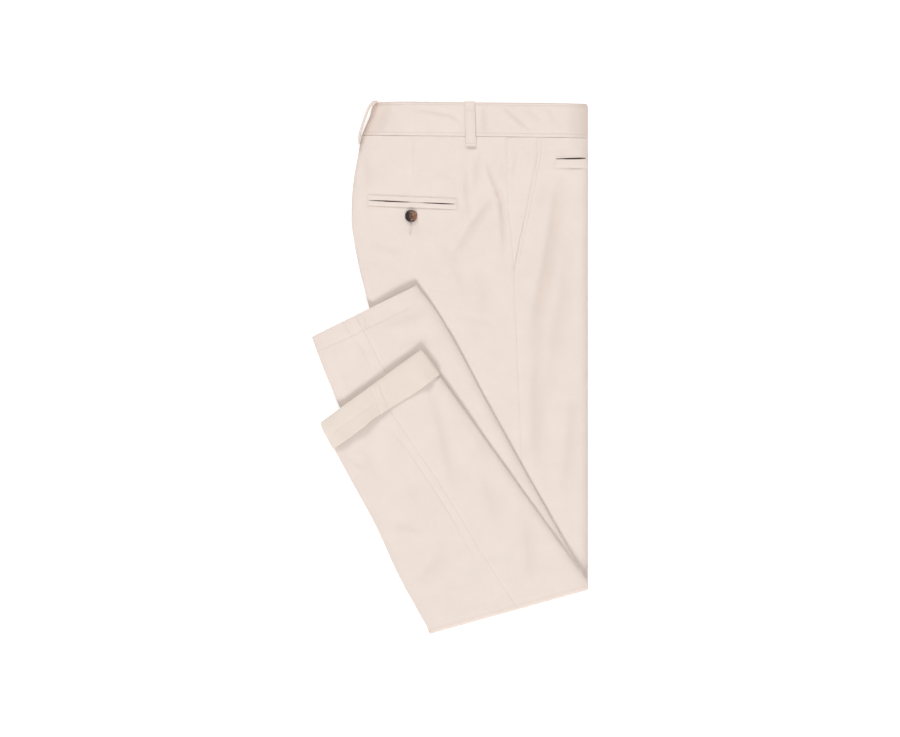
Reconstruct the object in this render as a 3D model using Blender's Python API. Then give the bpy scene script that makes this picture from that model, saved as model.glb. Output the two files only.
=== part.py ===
"""Chino trousers, pressed on their creases, folded once at the knee and laid flat on a surface.

The trousers lie on their left side. +Z is up, +Y runs towards the waist and +X towards the front
creases. Tables and sizes are in millimetres, and the meshes are made in metres.

Each leg is a flattened tube of two panels, front and back. A panel starts at the outseam, runs across
the leg's outer face, turns round a pressed crease and comes back along the inner face. Above the knee
the inner faces, the fly and the pocket bags are one solid, folded_inner_layers, between the panels.
Below the waist a tube is a row of sections; at the knee the sections turn about a slanted fold line.
"""

import math

import bmesh
import bpy
from mathutils import Vector

MM = 0.001

# ---------------------------------------------------------------- driving sizes, millimetres
CLOTH = 1.2  # wall of the panels
BAND = 2.0  # wall of the waistband: two layers and an interlining
TUBE = 4.2  # height of one flattened leg
BAND_TUBE = 4.8  # height of one flattened side of the waistband
SEAM = 0.3  # gap between sewn pieces
LEG_GAP = 0.3  # gap between one leg and the next
TUCK = 14.0  # how far a thigh panel comes back along its inner face past a crease
FACING_STEP = 0.3  # how much lower the pocket facing lies than the front panel
INNER_HALF = 2.65  # half the height of the hidden layers
INNER_ROUNDING = 2.2

FRONT_X = 166.5  # the front creases lie on this straight line
MID_PLANE = TUBE + LEG_GAP / 2  # height between the two thighs where nothing lifts them
FOLD_AXIS_Z = 2 * TUBE + 2 * LEG_GAP  # height of the line the shins are folded about
FOLD_PIVOT = (FRONT_X, -259.6)  # where both fold lines meet the front crease
RIGHT_FOLD_ANGLE = 12.5  # slant of the right leg's fold, degrees from +X
LEFT_FOLD_ANGLE = 15.5  # slant of the left leg's fold, which lies outside the right one
FOLD_STEPS = 8  # sections round the half turn at the knee
FOLD_CORNER_INSET = 2.4  # how far the fold's front corner draws in

HEM_TURN_UP = 36.0  # height of the left leg's turned-up hem, halfway across
HEM_SPREAD = 0.05  # share by which it is deeper at the front crease and shallower at the back one
CUFF_WALL = 1.5
CUFF_RISE = 1.8  # how far the turned-up hem lifts the left leg's end

LOOP_WALL = 1.6
LOOP_WIDTH = 12.5
BACK_LOOP_WALL = 1.9

ORIGIN = (0.75, -1.8)  # centre of the whole outline in the tables' frame

# ---------------------------------------------------------------- tables, millimetres
# Back edge of both thighs, from the waist seam to the knee: (y, x).
BACK_EDGE = [
    (277.0, -106.0), (250.0, -110.5), (225.0, -115.0), (200.0, -117.5), (176.0, -118.0),
    (151.0, -115.0), (126.0, -110.5), (100.0, -104.5), (72.0, -97.0), (0.0, -80.0),
    (-80.0, -62.0), (-160.0, -47.5), (-240.0, -35.8), (-312.0, -27.4),
]
# Outseam on both thighs: (y, x).
SIDE_SEAM = [
    (275.0, 68.5), (198.0, 70.0), (161.0, 74.0), (125.0, 77.0), (55.0, 80.0), (-66.0, 85.0),
    (-122.0, 87.0), (-200.0, 86.0), (-260.0, 82.0), (-320.0, 78.0),
]
# Slanted mouth of the hip pocket: (y, x). It ends on the outseam.
POCKET_MOUTH = [
    (275.0, 105.5), (260.0, 106.0), (235.0, 103.0), (205.0, 96.0), (176.0, 92.0),
    (151.0, 86.0), (126.0, 81.0), (114.0, 77.5),
]
# How far the waist end is lifted off the surface by the belt loop under it: (y, lift).
LIFT = [(400.0, 3.2), (250.0, 3.2), (225.0, 2.6), (200.0, 1.5), (176.0, 0.6), (151.0, 0.0), (-400.0, 0.0)]

# Sections of a thigh that lie level, by the y of the section.
LEVEL_SECTIONS = [250.0, 225.0, 200.0, 176.0, 151.0, 126.0, 114.0]
# Sections below them turn gradually to the slant of the fold: share of the way from the last level
# section to the fold, and share of the inner face that is cloth here and not the inner solid.
TURNING_SECTIONS = [(0.15, 0.0), (0.35, 0.0), (0.55, 0.0), (0.75, 0.0), (0.87, 0.0), (0.95, 1.0), (1.0, 1.0)]

# Edges of the folded-back shins as they lie, from the fold to the hem: share of the way, then
# the back crease (x, y) and the front crease (x, y).
RIGHT_SHIN = [
    (0.25, (-60.5, -221.0), (117.4, -173.3)),
    (0.55, (-101.0, -123.0), (52.2, -56.2)),
    (0.80, (-137.0, -38.0), (2.0, 37.0)),
    (0.90, (-152.0, -2.0), (-17.0, 68.0)),
    (1.00, (-166.0, 35.0), (-39.0, 97.0)),
]
LEFT_SHIN = [
    (0.25, (-61.0, -251.0), (116.6, -190.1)),
    (0.50, (-88.4, -191.7), (66.8, -120.6)),
    (0.72, (-117.1, -139.0), (22.9, -59.4)),
    (0.86, (-135.3, -105.5), (-5.1, -20.4)),
    (1.00, (-153.9, -71.3), (-33.2, 18.8)),
]
OUTSEAM_SHARE = [(0.0, 0.54), (0.5, 0.544), (1.0, 0.527)]  # along the shin: share from back to front
KNEE_INSEAM_SHARE = 0.45
INSEAM_SHARE = [(0.0, KNEE_INSEAM_SHARE), (1.0, 0.42)]

# Right back pocket: its slit from seat to side.
BACK_SLIT = ((-97.0, 199.0), (7.0, 194.5))
JET_HEIGHT = 6.4
JET_WALL = 0.8
# Coin pocket: a welt under a slit that the front crease cuts.
COIN_LEFT = 127.0
COIN_SLIT_Y = 248.0
COIN_WELT_HEIGHT = 10.0
COIN_WALL = 0.7

BUTTON_CENTRE = (-46.0, 180.0)
BUTTON_RADIUS = 7.5
BUTTON_HEIGHT = 2.8
BUTTON_STAND_OFF = 0.15
BUTTON_HOLE_RADIUS = 0.9
BUTTON_HOLE_OFFSET = 1.7

# Colours and finishes: (red, green, blue), roughness.
CLOTH_COLOUR = ((0.84, 0.74, 0.67), 0.9)
INNER_COLOUR = ((0.80, 0.71, 0.64), 0.9)
BUTTON_COLOUR = ((0.07, 0.03, 0.018), 0.3)


# ---------------------------------------------------------------- small tools
def lerp(start, end, share):
    return start + (end - start) * share


def lerp_point(start, end, share):
    return (lerp(start[0], end[0], share), lerp(start[1], end[1], share))


def read_table(table, key):
    """Value of a two-column table at key, straight between its rows; the keys may rise or fall."""
    rows = sorted(table)
    if key <= rows[0][0]:
        return rows[0][1]
    for (low, low_value), (high, high_value) in zip(rows, rows[1:]):
        if key <= high:
            return lerp(low_value, high_value, (key - low) / (high - low))
    return rows[-1][1]


def lift_at(y):
    return read_table(LIFT, y)


def make_material(name, colour):
    material = bpy.data.materials.new(name)
    material.use_nodes = True
    shader = material.node_tree.nodes["Principled BSDF"]
    (red, green, blue), roughness = colour
    shader.inputs["Base Color"].default_value = (red, green, blue, 1.0)
    shader.inputs["Roughness"].default_value = roughness
    shader.inputs["Metallic"].default_value = 0.0
    return material


def add_object(name, mesh_data, colour, smooth_angle=40.0):
    """One object from a bmesh in millimetres, in metres and centred on the origin."""
    for vert in mesh_data.verts:
        moved = (vert.co.x - ORIGIN[0], vert.co.y - ORIGIN[1], vert.co.z)
        vert.co = Vector(moved) * MM
    bmesh.ops.recalc_face_normals(mesh_data, faces=mesh_data.faces)
    mesh = bpy.data.meshes.new(name)
    mesh_data.to_mesh(mesh)
    mesh_data.free()
    mesh.shade_smooth()
    mesh.set_sharp_from_angle(angle=math.radians(smooth_angle))
    mesh.materials.append(make_material(name, colour))
    thing = bpy.data.objects.new(name, mesh)
    bpy.context.collection.objects.link(thing)
    return thing


def wall_mesh(outer, inner):
    """A closed wall between two grids of points, which have the same rows and columns."""
    result = bmesh.new()
    faces = [[[result.verts.new(point) for point in row] for row in grid] for grid in (outer, inner)]
    rows = len(outer)
    columns = len(outer[0])
    for grid in faces:
        for i in range(rows - 1):
            for j in range(columns - 1):
                result.faces.new((grid[i][j], grid[i][j + 1], grid[i + 1][j + 1], grid[i + 1][j]))
    top, bottom = faces
    for i in (0, rows - 1):
        for j in range(columns - 1):
            result.faces.new((top[i][j], top[i][j + 1], bottom[i][j + 1], bottom[i][j]))
    for j in (0, columns - 1):
        for i in range(rows - 1):
            result.faces.new((top[i][j], top[i + 1][j], bottom[i + 1][j], bottom[i][j]))
    return result


def ring_mesh(rings, closed_ends=True):
    """A closed solid through rings of points. Without ends, the last ring joins the first."""
    result = bmesh.new()
    loops = [[result.verts.new(point) for point in ring] for ring in rings]
    pairs = list(zip(loops, loops[1:]))
    if not closed_ends:
        pairs.append((loops[-1], loops[0]))
    count = len(rings[0])
    for near, far in pairs:
        for j in range(count):
            k = (j + 1) % count
            result.faces.new((near[j], near[k], far[k], far[j]))
    if closed_ends:
        result.faces.new(loops[0])
        result.faces.new(loops[-1])
    return result


# ---------------------------------------------------------------- sections of a leg
class Section:
    """One cross-section of a flattened leg.

    back and front are the plan points of its two creases. turn is how far the section has gone
    round the knee fold, in degrees: 0 on the thigh and 180 on the shin.
    """

    def __init__(self, back, front, side_share, inner_share, inner_reach=1.0, turn=0.0, outward=(0, 0), rise=0.0):
        self.back = back
        self.front = front
        self.side_share = side_share
        self.inner_share = inner_share
        self.inner_reach = inner_reach
        self.turn = math.radians(turn)
        self.outward = outward
        self.rise = rise

    @property
    def width(self):
        return math.dist(self.back, self.front)

    def place(self, across, height):
        """Point at a distance across from the back crease and a height in the unfolded stack."""
        x, y = lerp_point(self.back, self.front, across / self.width)
        if self.turn == 0.0:
            return (x, y, height + lift_at(y))
        radius = FOLD_AXIS_Z - height
        reach = radius * math.sin(self.turn)
        z = FOLD_AXIS_Z - radius * math.cos(self.turn) + self.rise
        return (x + self.outward[0] * reach, y + self.outward[1] * reach, z)


def share_of(table, back, front):
    """Share of the way from back to front at which a (y, x) line crosses a section."""
    share = 0.6
    for _ in range(6):
        y = lerp(back[1], front[1], share)
        share = (read_table(table, y) - back[0]) / (front[0] - back[0])
    return share


def thigh_sections(back_end, inset):
    """Sections from the waist seam to the fold line; inset draws the back edge in."""
    sections = []
    waist_back = (-105.6 + inset, 276.9)
    waist_front = (FRONT_X, 273.6)
    levels = [(waist_back, waist_front)]
    for y in LEVEL_SECTIONS:
        levels.append(((read_table(BACK_EDGE, y) + inset, y), (FRONT_X, y)))
    for back, front in levels:
        sections.append(Section(back, front, share_of(SIDE_SEAM, back, front), KNEE_INSEAM_SHARE, 0.0))
    last_y = LEVEL_SECTIONS[-1]
    for share, reach in TURNING_SECTIONS:
        back_y = lerp(last_y, back_end[1], share)
        back = (read_table(BACK_EDGE, back_y) + inset, back_y)
        front = (FRONT_X, lerp(last_y, FOLD_PIVOT[1], share))
        sections.append(Section(back, front, share_of(SIDE_SEAM, back, front), KNEE_INSEAM_SHARE, reach))
    return sections


def fold_sections(start, angle):
    """Sections round the half turn at the knee, after the thigh's last section."""
    slant = math.radians(angle)
    along = (math.cos(slant), math.sin(slant))
    outward = (math.sin(slant), -math.cos(slant))
    sections = []
    for step in range(1, FOLD_STEPS + 1):
        turn = 180.0 * step / FOLD_STEPS
        inset = FOLD_CORNER_INSET * math.sin(math.radians(turn))
        front = (start.front[0] - along[0] * inset, start.front[1] - along[1] * inset)
        share = lerp(start.side_share, read_table(OUTSEAM_SHARE, 0.0), step / FOLD_STEPS)
        sections.append(Section(start.back, front, share, KNEE_INSEAM_SHARE, 1.0, turn, outward))
    return sections


def shin_sections(table, rises):
    sections = []
    for share, back, front in table:
        side = read_table(OUTSEAM_SHARE, share)
        inner = read_table(INSEAM_SHARE, share)
        sections.append(Section(back, front, side, inner, 1.0, 180.0, (0, 0), read_table(rises, share)))
    return sections


def leg_sections(angle, shin, rises, inset):
    slope = math.tan(math.radians(angle))
    back_end_y = FOLD_PIVOT[1]
    for _ in range(6):
        back_end_y = FOLD_PIVOT[1] - slope * (FRONT_X - read_table(BACK_EDGE, back_end_y))
    thigh = thigh_sections((0.0, back_end_y), inset)
    fold = fold_sections(thigh[-1], angle)
    return thigh + fold + shin_sections(shin, rises)


# ---------------------------------------------------------------- panels
OUTER_COLUMNS = 5
ARC_COLUMNS = 6
INNER_COLUMNS = 4


def side_line(section, start, height, half, toward_front, tube, top_up):
    """Points of one surface of a panel at one section: outer face, crease, inner face.

    start is the distance from the back crease where the panel begins, height the middle of the
    tube and half the distance of this surface from it.
    """
    width = section.width
    centre = tube / 2
    sign = 1.0 if top_up else -1.0
    seam = section.inner_share * width
    inner_end = lerp(centre + TUCK, seam - SEAM / 2, section.inner_reach)
    if toward_front:
        inner_end = lerp(width - centre - TUCK, seam + SEAM / 2, section.inner_reach)
    turn_at = width - centre if toward_front else centre
    way = 1.0 if toward_front else -1.0
    points = []
    for step in range(OUTER_COLUMNS):
        across = lerp(start, turn_at, step / OUTER_COLUMNS)
        points.append(section.place(across, height + sign * half))
    for step in range(ARC_COLUMNS + 1):
        angle = math.pi * step / ARC_COLUMNS
        across = turn_at + way * half * math.sin(angle)
        points.append(section.place(across, height + sign * half * math.cos(angle)))
    for step in range(1, INNER_COLUMNS + 1):
        across = lerp(turn_at, inner_end, step / INNER_COLUMNS)
        points.append(section.place(across, height - sign * half))
    return points


def panel_grids(sections, starts, height, toward_front, tube, wall, top_up):
    outer = []
    inner = []
    for section, start in zip(sections, starts):
        outer.append(side_line(section, start, height, tube / 2, toward_front, tube, top_up))
        inner.append(side_line(section, start, height, tube / 2 - wall, toward_front, tube, top_up))
    return outer, inner


def leg_height(right):
    """Height of the middle of a leg's tube in the unfolded stack."""
    shift = (TUBE + LEG_GAP) / 2
    return MID_PLANE + shift if right else MID_PLANE - shift


def front_start(section):
    """Where the front panel begins: the pocket mouth above the pocket's foot, the outseam below."""
    y = lerp(section.back[1], section.front[1], section.side_share)
    share = section.side_share
    if section.turn == 0.0 and y > POCKET_MOUTH[-1][0]:
        share = share_of(POCKET_MOUTH, section.back, section.front)
    return share * section.width + SEAM / 2


def make_leg(side, sections, right):
    height = leg_height(right)
    fronts = [front_start(section) for section in sections]
    backs = [section.side_share * section.width - SEAM / 2 for section in sections]
    outer, inner = panel_grids(sections, fronts, height, True, TUBE, CLOTH, right)
    add_object(side + "_front", wall_mesh(outer, inner), CLOTH_COLOUR)
    outer, inner = panel_grids(sections, backs, height, False, TUBE, CLOTH, right)
    add_object(side + "_back", wall_mesh(outer, inner), CLOTH_COLOUR)


def make_pocket_facing(side, right):
    """The side piece that shows between the outseam and the slanted pocket mouth."""
    outer_half = TUBE / 2 - FACING_STEP
    sign = 1.0 if right else -1.0
    height = leg_height(right)
    outer = []
    inner = []
    for y in [273.9, 250.0, 225.0, 200.0, 176.0, 151.0, 126.0, 119.0]:
        low = read_table(SIDE_SEAM, y) + SEAM / 2
        high = read_table(POCKET_MOUTH, y) - SEAM / 2
        row = [lerp(low, high, share) for share in (0.0, 0.5, 1.0)]
        z = height + lift_at(y)
        outer.append([(x, y, z + sign * outer_half) for x in row])
        inner.append([(x, y, z + sign * (outer_half - CLOTH)) for x in row])
    add_object(side + "_pocket_facing", wall_mesh(outer, inner), CLOTH_COLOUR)


# ---------------------------------------------------------------- inside
def make_inner_layers():
    """The hidden inner faces, fly and pocket bags, as one rounded solid with two leaves at its rim."""
    clear = TUCK + TUBE / 2 + 1.5
    rounding = INNER_ROUNDING
    rings = []
    for y in [311.5, 309.0, 276.0, 250.0, 225.0, 200.0, 176.0, 151.0, 100.0, 0.0, -80.0, -150.0, -186.0, -190.0]:
        end = y in (311.5, -190.0)
        thick = INNER_HALF * (0.55 if end else 1.0)
        low = read_table(BACK_EDGE, min(y, 277.0)) + clear + (18.0 if y > 277.0 else 0.0)
        high = FRONT_X - clear
        if end:
            low += rounding
            high -= rounding
        middle = MID_PLANE + lift_at(y)
        side = [(rounding, -1.0), (0.5, -0.8), (0.0, -0.5), (1.3, 0.0), (0.0, 0.5), (0.5, 0.8), (rounding, 1.0)]
        ring = [(low + depth, y, middle + thick * level) for depth, level in side]
        ring += [(high - depth, y, middle + thick * level) for depth, level in reversed(side)]
        rings.append(ring)
    add_object("folded_inner_layers", ring_mesh(rings), INNER_COLOUR)


# ---------------------------------------------------------------- waistband and belt loops
# Waistband sections from its seam to its top: back edge (x, y), y at the front crease.
BAND_SECTIONS = [
    ((-105.4, 277.2), 273.9),
    ((-101.5, 287.0), 285.0),
    ((-95.5, 301.0), 300.0),
    ((-93.0, 312.0), 310.0),
    ((-89.0, 317.6), 315.2),
]


def make_waistband(side, right):
    sections = [Section(back, (FRONT_X, front_y), 0.5, 0.5, 0.0) for back, front_y in BAND_SECTIONS]
    shift = (BAND_TUBE + LEG_GAP) / 2
    height = MID_PLANE + (shift if right else -shift)
    outer = []
    inner = []
    for section in sections:
        rows = []
        for half in (BAND_TUBE / 2, BAND_TUBE / 2 - BAND):
            middle = section.width / 2
            to_back = side_line(section, middle, height, half, False, BAND_TUBE, right)
            to_front = side_line(section, middle, height, half, True, BAND_TUBE, right)
            rows.append(list(reversed(to_back)) + to_front[1:])
        outer.append(rows[0])
        inner.append(rows[1])
    add_object(side + "_waistband", wall_mesh(outer, inner), CLOTH_COLOUR)


# Side belt loop, from its foot to its top: y, x of its middle, height of its underside over the band.
SIDE_LOOP = [
    (264.0, 25.8, -0.3), (267.5, 25.7, -0.1), (271.0, 25.6, 0.5), (277.0, 25.3, 0.9), (291.0, 24.9, 1.0),
    (305.0, 24.5, 0.8), (312.0, 24.2, 0.4), (317.9, 24.0, 0.3),
]


def make_side_loop(side, right):
    """A strip over the waistband, standing off it between its foot and its top."""
    sign = 1.0 if right else -1.0
    band_face = LEG_GAP / 2 + BAND_TUBE
    outer = []
    inner = []
    for y, x, stand_off in SIDE_LOOP:
        middle = MID_PLANE + lift_at(y)
        low = band_face + stand_off
        row = [x - LOOP_WIDTH / 2, x - LOOP_WIDTH / 6, x + LOOP_WIDTH / 6, x + LOOP_WIDTH / 2]
        outer.append([(across, y, middle + sign * (low + LOOP_WALL)) for across in row])
        inner.append([(across, y, middle + sign * low) for across in row])
    add_object(side + "_side_belt_loop", wall_mesh(outer, inner), CLOTH_COLOUR)


# Centre back belt loop, arched off the back edge, seen along its width: (x, y) of its middle line.
BACK_LOOP = [
    (-95.2, 313.6), (-97.4, 309.0), (-99.9, 303.0), (-102.4, 296.0), (-105.0, 288.0), (-107.6, 279.0),
    (-108.9, 272.0), (-108.6, 266.5),
]


def make_back_loop():
    middle = MID_PLANE + lift_at(300.0)
    outer = []
    inner = []
    for index, (x, y) in enumerate(BACK_LOOP):
        before = BACK_LOOP[max(index - 1, 0)]
        after = BACK_LOOP[min(index + 1, len(BACK_LOOP) - 1)]
        length = math.dist(before, after)
        normal = ((after[1] - before[1]) / length, -(after[0] - before[0]) / length)
        heights = [middle - LOOP_WIDTH / 2, middle, middle + LOOP_WIDTH / 2]
        reach = BACK_LOOP_WALL / 2
        outer.append([(x + normal[0] * reach, y + normal[1] * reach, z) for z in heights])
        inner.append([(x - normal[0] * reach, y - normal[1] * reach, z) for z in heights])
    add_object("back_belt_loop", wall_mesh(outer, inner), CLOTH_COLOUR)


# ---------------------------------------------------------------- pockets and button
def body_top(y):
    """Height of the right thigh's upper face."""
    return MID_PLANE + LEG_GAP / 2 + TUBE + lift_at(y)


def make_jet(name, side):
    """One welt of the back pocket. side is 1 above the slit and -1 below it."""
    start, end = BACK_SLIT
    outer = []
    inner = []
    for away in (SEAM / 2, JET_HEIGHT / 2, JET_HEIGHT):
        row = [lerp_point(start, end, share) for share in (0.0, 0.33, 0.67, 1.0)]
        row = [(x, y + side * away) for x, y in row]
        crown = 0.2 if away == JET_HEIGHT / 2 else 0.0
        outer.append([(x, y, body_top(y) + SEAM + JET_WALL + crown) for x, y in row])
        inner.append([(x, y, body_top(y) + SEAM) for x, y in row])
    add_object(name, wall_mesh(outer, inner), CLOTH_COLOUR)


def make_coin_welt():
    """The coin pocket's welt, which runs on round the front crease."""
    tube = TUBE / 2
    outer = []
    inner = []
    for y in (COIN_SLIT_Y - COIN_WELT_HEIGHT, COIN_SLIT_Y - COIN_WELT_HEIGHT / 2, COIN_SLIT_Y):
        middle = leg_height(True) + lift_at(y)
        rows = []
        for stand_off in (SEAM + COIN_WALL, SEAM):
            half = tube + stand_off
            flat = [lerp(COIN_LEFT, FRONT_X - tube, share) for share in (0.0, 0.5)]
            row = [(x, y, middle + half) for x in flat]
            for step in range(5):
                angle = math.pi * 0.5 * step / 4
                row.append((FRONT_X - tube + half * math.sin(angle), y, middle + half * math.cos(angle)))
            rows.append(row)
        outer.append(rows[0])
        inner.append(rows[1])
    add_object("coin_pocket_welt", wall_mesh(outer, inner), CLOTH_COLOUR)


def make_button():
    """A four-hole button with a raised rim, lying on the right seat."""
    x, y = BUTTON_CENTRE
    base = body_top(y) + SEAM + BUTTON_STAND_OFF
    profile = [
        (0.0, 0.9), (3.6, 0.9), (4.4, 1.6), (5.6, 2.4), (6.6, BUTTON_HEIGHT), (BUTTON_RADIUS - 0.2, 2.3),
        (BUTTON_RADIUS, 1.5), (BUTTON_RADIUS - 0.5, 0.5), (BUTTON_RADIUS - 2.2, 0.0), (0.0, 0.0),
    ]
    segments = 28
    result = bmesh.new()
    rings = []
    for radius, height in profile[1:-1]:
        ring = []
        for step in range(segments):
            angle = 2 * math.pi * step / segments
            ring.append(result.verts.new((x + radius * math.cos(angle), y + radius * math.sin(angle), base + height)))
        rings.append(ring)
    for near, far in zip(rings, rings[1:]):
        for j in range(segments):
            k = (j + 1) % segments
            result.faces.new((near[j], near[k], far[k], far[j]))
    result.faces.new(rings[0])
    result.faces.new(rings[-1])
    button = add_object("back_pocket_button", result, BUTTON_COLOUR)
    cutter = make_button_cutter(x, y, base)
    cut = button.modifiers.new("thread holes", "BOOLEAN")
    cut.operation = "DIFFERENCE"
    cut.object = cutter


def make_button_cutter(x, y, base):
    result = bmesh.new()
    for step in range(4):
        angle = math.pi / 4 + math.pi / 2 * step
        centre = (x + BUTTON_HOLE_OFFSET * math.cos(angle), y + BUTTON_HOLE_OFFSET * math.sin(angle))
        bottom = []
        top = []
        for turn in range(10):
            around = 2 * math.pi * turn / 10
            px = centre[0] + BUTTON_HOLE_RADIUS * math.cos(around)
            py = centre[1] + BUTTON_HOLE_RADIUS * math.sin(around)
            bottom.append(result.verts.new((px, py, base - 1.0)))
            top.append(result.verts.new((px, py, base + 4.0)))
        for j in range(10):
            k = (j + 1) % 10
            result.faces.new((bottom[j], bottom[k], top[k], top[j]))
        result.faces.new(bottom)
        result.faces.new(top)
    cutter = add_object("button_hole_cutter", result, BUTTON_COLOUR)
    cutter.hide_render = True
    cutter.display_type = "WIRE"
    return cutter


# ---------------------------------------------------------------- turned-up hem
# Profile of the turned-up hem: distance from its folded end, distance out from the leg's face.
CUFF_PROFILE = [
    (HEM_TURN_UP, SEAM), (HEM_TURN_UP, SEAM + CUFF_WALL), (HEM_TURN_UP / 2, SEAM + CUFF_WALL),
    (2.2, SEAM + CUFF_WALL), (0.7, SEAM + 0.9), (0.0, SEAM - 0.1), (0.3, -0.8), (1.2, -1.1), (1.2, SEAM),
    (HEM_TURN_UP / 2, SEAM),
]
CUFF_LIP = 1.5  # how far the folded end reaches past the leg's own end


def edge_point(inner_row, end_row, past_end):
    """Point on a leg's edge line, a distance past its end; a negative distance is back up the leg."""
    length = math.dist(inner_row, end_row)
    return lerp_point(inner_row, end_row, (length + past_end) / length)


def make_cuff():
    middle = 2 * FOLD_AXIS_Z - leg_height(False) + CUFF_RISE
    rings = []
    for along, out in CUFF_PROFILE:
        back = edge_point(LEFT_SHIN[-2][1], LEFT_SHIN[-1][1], CUFF_LIP - along * (1 - HEM_SPREAD))
        front = edge_point(LEFT_SHIN[-2][2], LEFT_SHIN[-1][2], CUFF_LIP - along * (1 + HEM_SPREAD))
        width = math.dist(back, front)
        half = TUBE / 2 + out
        flat_steps = 4
        ring = []
        for start, end, face in ((TUBE / 2, width - TUBE / 2, 1.0), (width - TUBE / 2, TUBE / 2, -1.0)):
            for step in range(flat_steps):
                x, y = lerp_point(back, front, lerp(start, end, step / flat_steps) / width)
                ring.append((x, y, middle + face * half))
            for step in range(ARC_COLUMNS):
                angle = math.pi * step / ARC_COLUMNS
                across = end + face * half * math.sin(angle)
                x, y = lerp_point(back, front, across / width)
                ring.append((x, y, middle + face * half * math.cos(angle)))
        rings.append(ring)
    add_object("left_cuff", ring_mesh(rings, closed_ends=False), CLOTH_COLOUR)


# ---------------------------------------------------------------- the whole object
def main():
    for thing in list(bpy.data.objects):
        bpy.data.objects.remove(thing, do_unlink=True)
    flat = [(0.0, 0.0), (1.0, 0.0)]
    cuff_rise = [(0.0, 0.0), (0.5, 0.0), (0.86, CUFF_RISE), (1.0, CUFF_RISE)]
    make_leg("right", leg_sections(RIGHT_FOLD_ANGLE, RIGHT_SHIN, flat, 0.0), True)
    make_leg("left", leg_sections(LEFT_FOLD_ANGLE, LEFT_SHIN, cuff_rise, 0.8), False)
    make_cuff()
    make_inner_layers()
    for side, right in (("right", True), ("left", False)):
        make_waistband(side, right)
        make_pocket_facing(side, right)
        make_side_loop(side, right)
    make_back_loop()
    make_jet("back_pocket_upper_jet", 1)
    make_jet("back_pocket_lower_jet", -1)
    make_button()
    make_coin_welt()


main()
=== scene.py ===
"""Looks of the folded chino trousers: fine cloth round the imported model, stitches, materials, light, camera.

Sizes are in millimetres in the pattern's frame: +X to the front creases, +Y to the waist, +Z up. They
become metres, centred on the model's origin, when a mesh is made.
"""
import math

import bmesh
import bpy
import numpy as np
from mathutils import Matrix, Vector
from mathutils.bvhtree import BVHTree


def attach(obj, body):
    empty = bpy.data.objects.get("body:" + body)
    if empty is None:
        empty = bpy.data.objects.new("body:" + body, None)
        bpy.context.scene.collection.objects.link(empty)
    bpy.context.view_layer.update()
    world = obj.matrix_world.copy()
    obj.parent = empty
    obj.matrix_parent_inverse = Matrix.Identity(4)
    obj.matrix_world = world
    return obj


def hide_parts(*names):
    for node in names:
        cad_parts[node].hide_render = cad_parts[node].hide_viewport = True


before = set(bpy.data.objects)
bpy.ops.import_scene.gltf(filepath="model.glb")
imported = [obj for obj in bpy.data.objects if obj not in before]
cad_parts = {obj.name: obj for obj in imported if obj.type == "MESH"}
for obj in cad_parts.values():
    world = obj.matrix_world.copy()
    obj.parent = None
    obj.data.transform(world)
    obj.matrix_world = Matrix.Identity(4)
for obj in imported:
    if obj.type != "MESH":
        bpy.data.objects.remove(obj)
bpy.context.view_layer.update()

MM = 0.001
BODY = "root"

# ---------------------------------------------------------------- the model's sizes, millimetres
CLOTH = 0.8  # wall of the fine cloth, which lies in the outer part of the model's wall
BAND = 1.7
TUBE = 4.2
BAND_TUBE = 4.8
LEG_GAP = 0.3
TUCK = 14.0
FRONT_X = 166.5
MID_PLANE = TUBE + LEG_GAP / 2
FOLD_AXIS_Z = 2 * TUBE + 2 * LEG_GAP
FOLD_PIVOT = (FRONT_X, -259.6)
FOLD_CORNER_INSET = 2.4
ORIGIN = (0.75, -1.8)
HEM_TURN_UP = 36.0
HEM_SPREAD = 0.05
CUFF_PINCH = 0.55
CUFF_RISE = 1.8
CUFF_LIP = 1.5
BACK_LIP = 2.0  # how much further the turned-up hem reaches at the back crease
LOOP_WIDTH = 12.5

# Back edge of both thighs (y, x), outseam (y, x), mouth of the hip pocket (y, x), lift (y, z).
BACK_EDGE = [
    (-312.0, -27.4), (-240.0, -35.8), (-160.0, -47.5), (-80.0, -62.0), (0.0, -80.0), (72.0, -97.0),
    (100.0, -104.5), (126.0, -110.5), (151.0, -115.0), (176.0, -118.0), (200.0, -117.5), (225.0, -115.0),
    (250.0, -110.5), (277.0, -106.0),
]
SIDE_SEAM = [
    (-320.0, 78.0), (-260.0, 82.0), (-200.0, 86.0), (-122.0, 87.0), (-66.0, 85.0), (55.0, 80.0),
    (125.0, 77.0), (161.0, 74.0), (198.0, 70.0), (275.0, 68.5),
]
POCKET_MOUTH = [
    (114.0, 77.5), (126.0, 79.8), (151.0, 84.6), (176.0, 90.2), (205.0, 95.9), (235.0, 101.7),
    (260.0, 105.8), (275.0, 105.5),
]
POCKET_FOOT_Y = 114.0
LIFT = [(-400.0, 0.0), (151.0, 0.0), (176.0, 0.6), (200.0, 1.5), (225.0, 2.6), (250.0, 3.2), (400.0, 3.2)]

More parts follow.
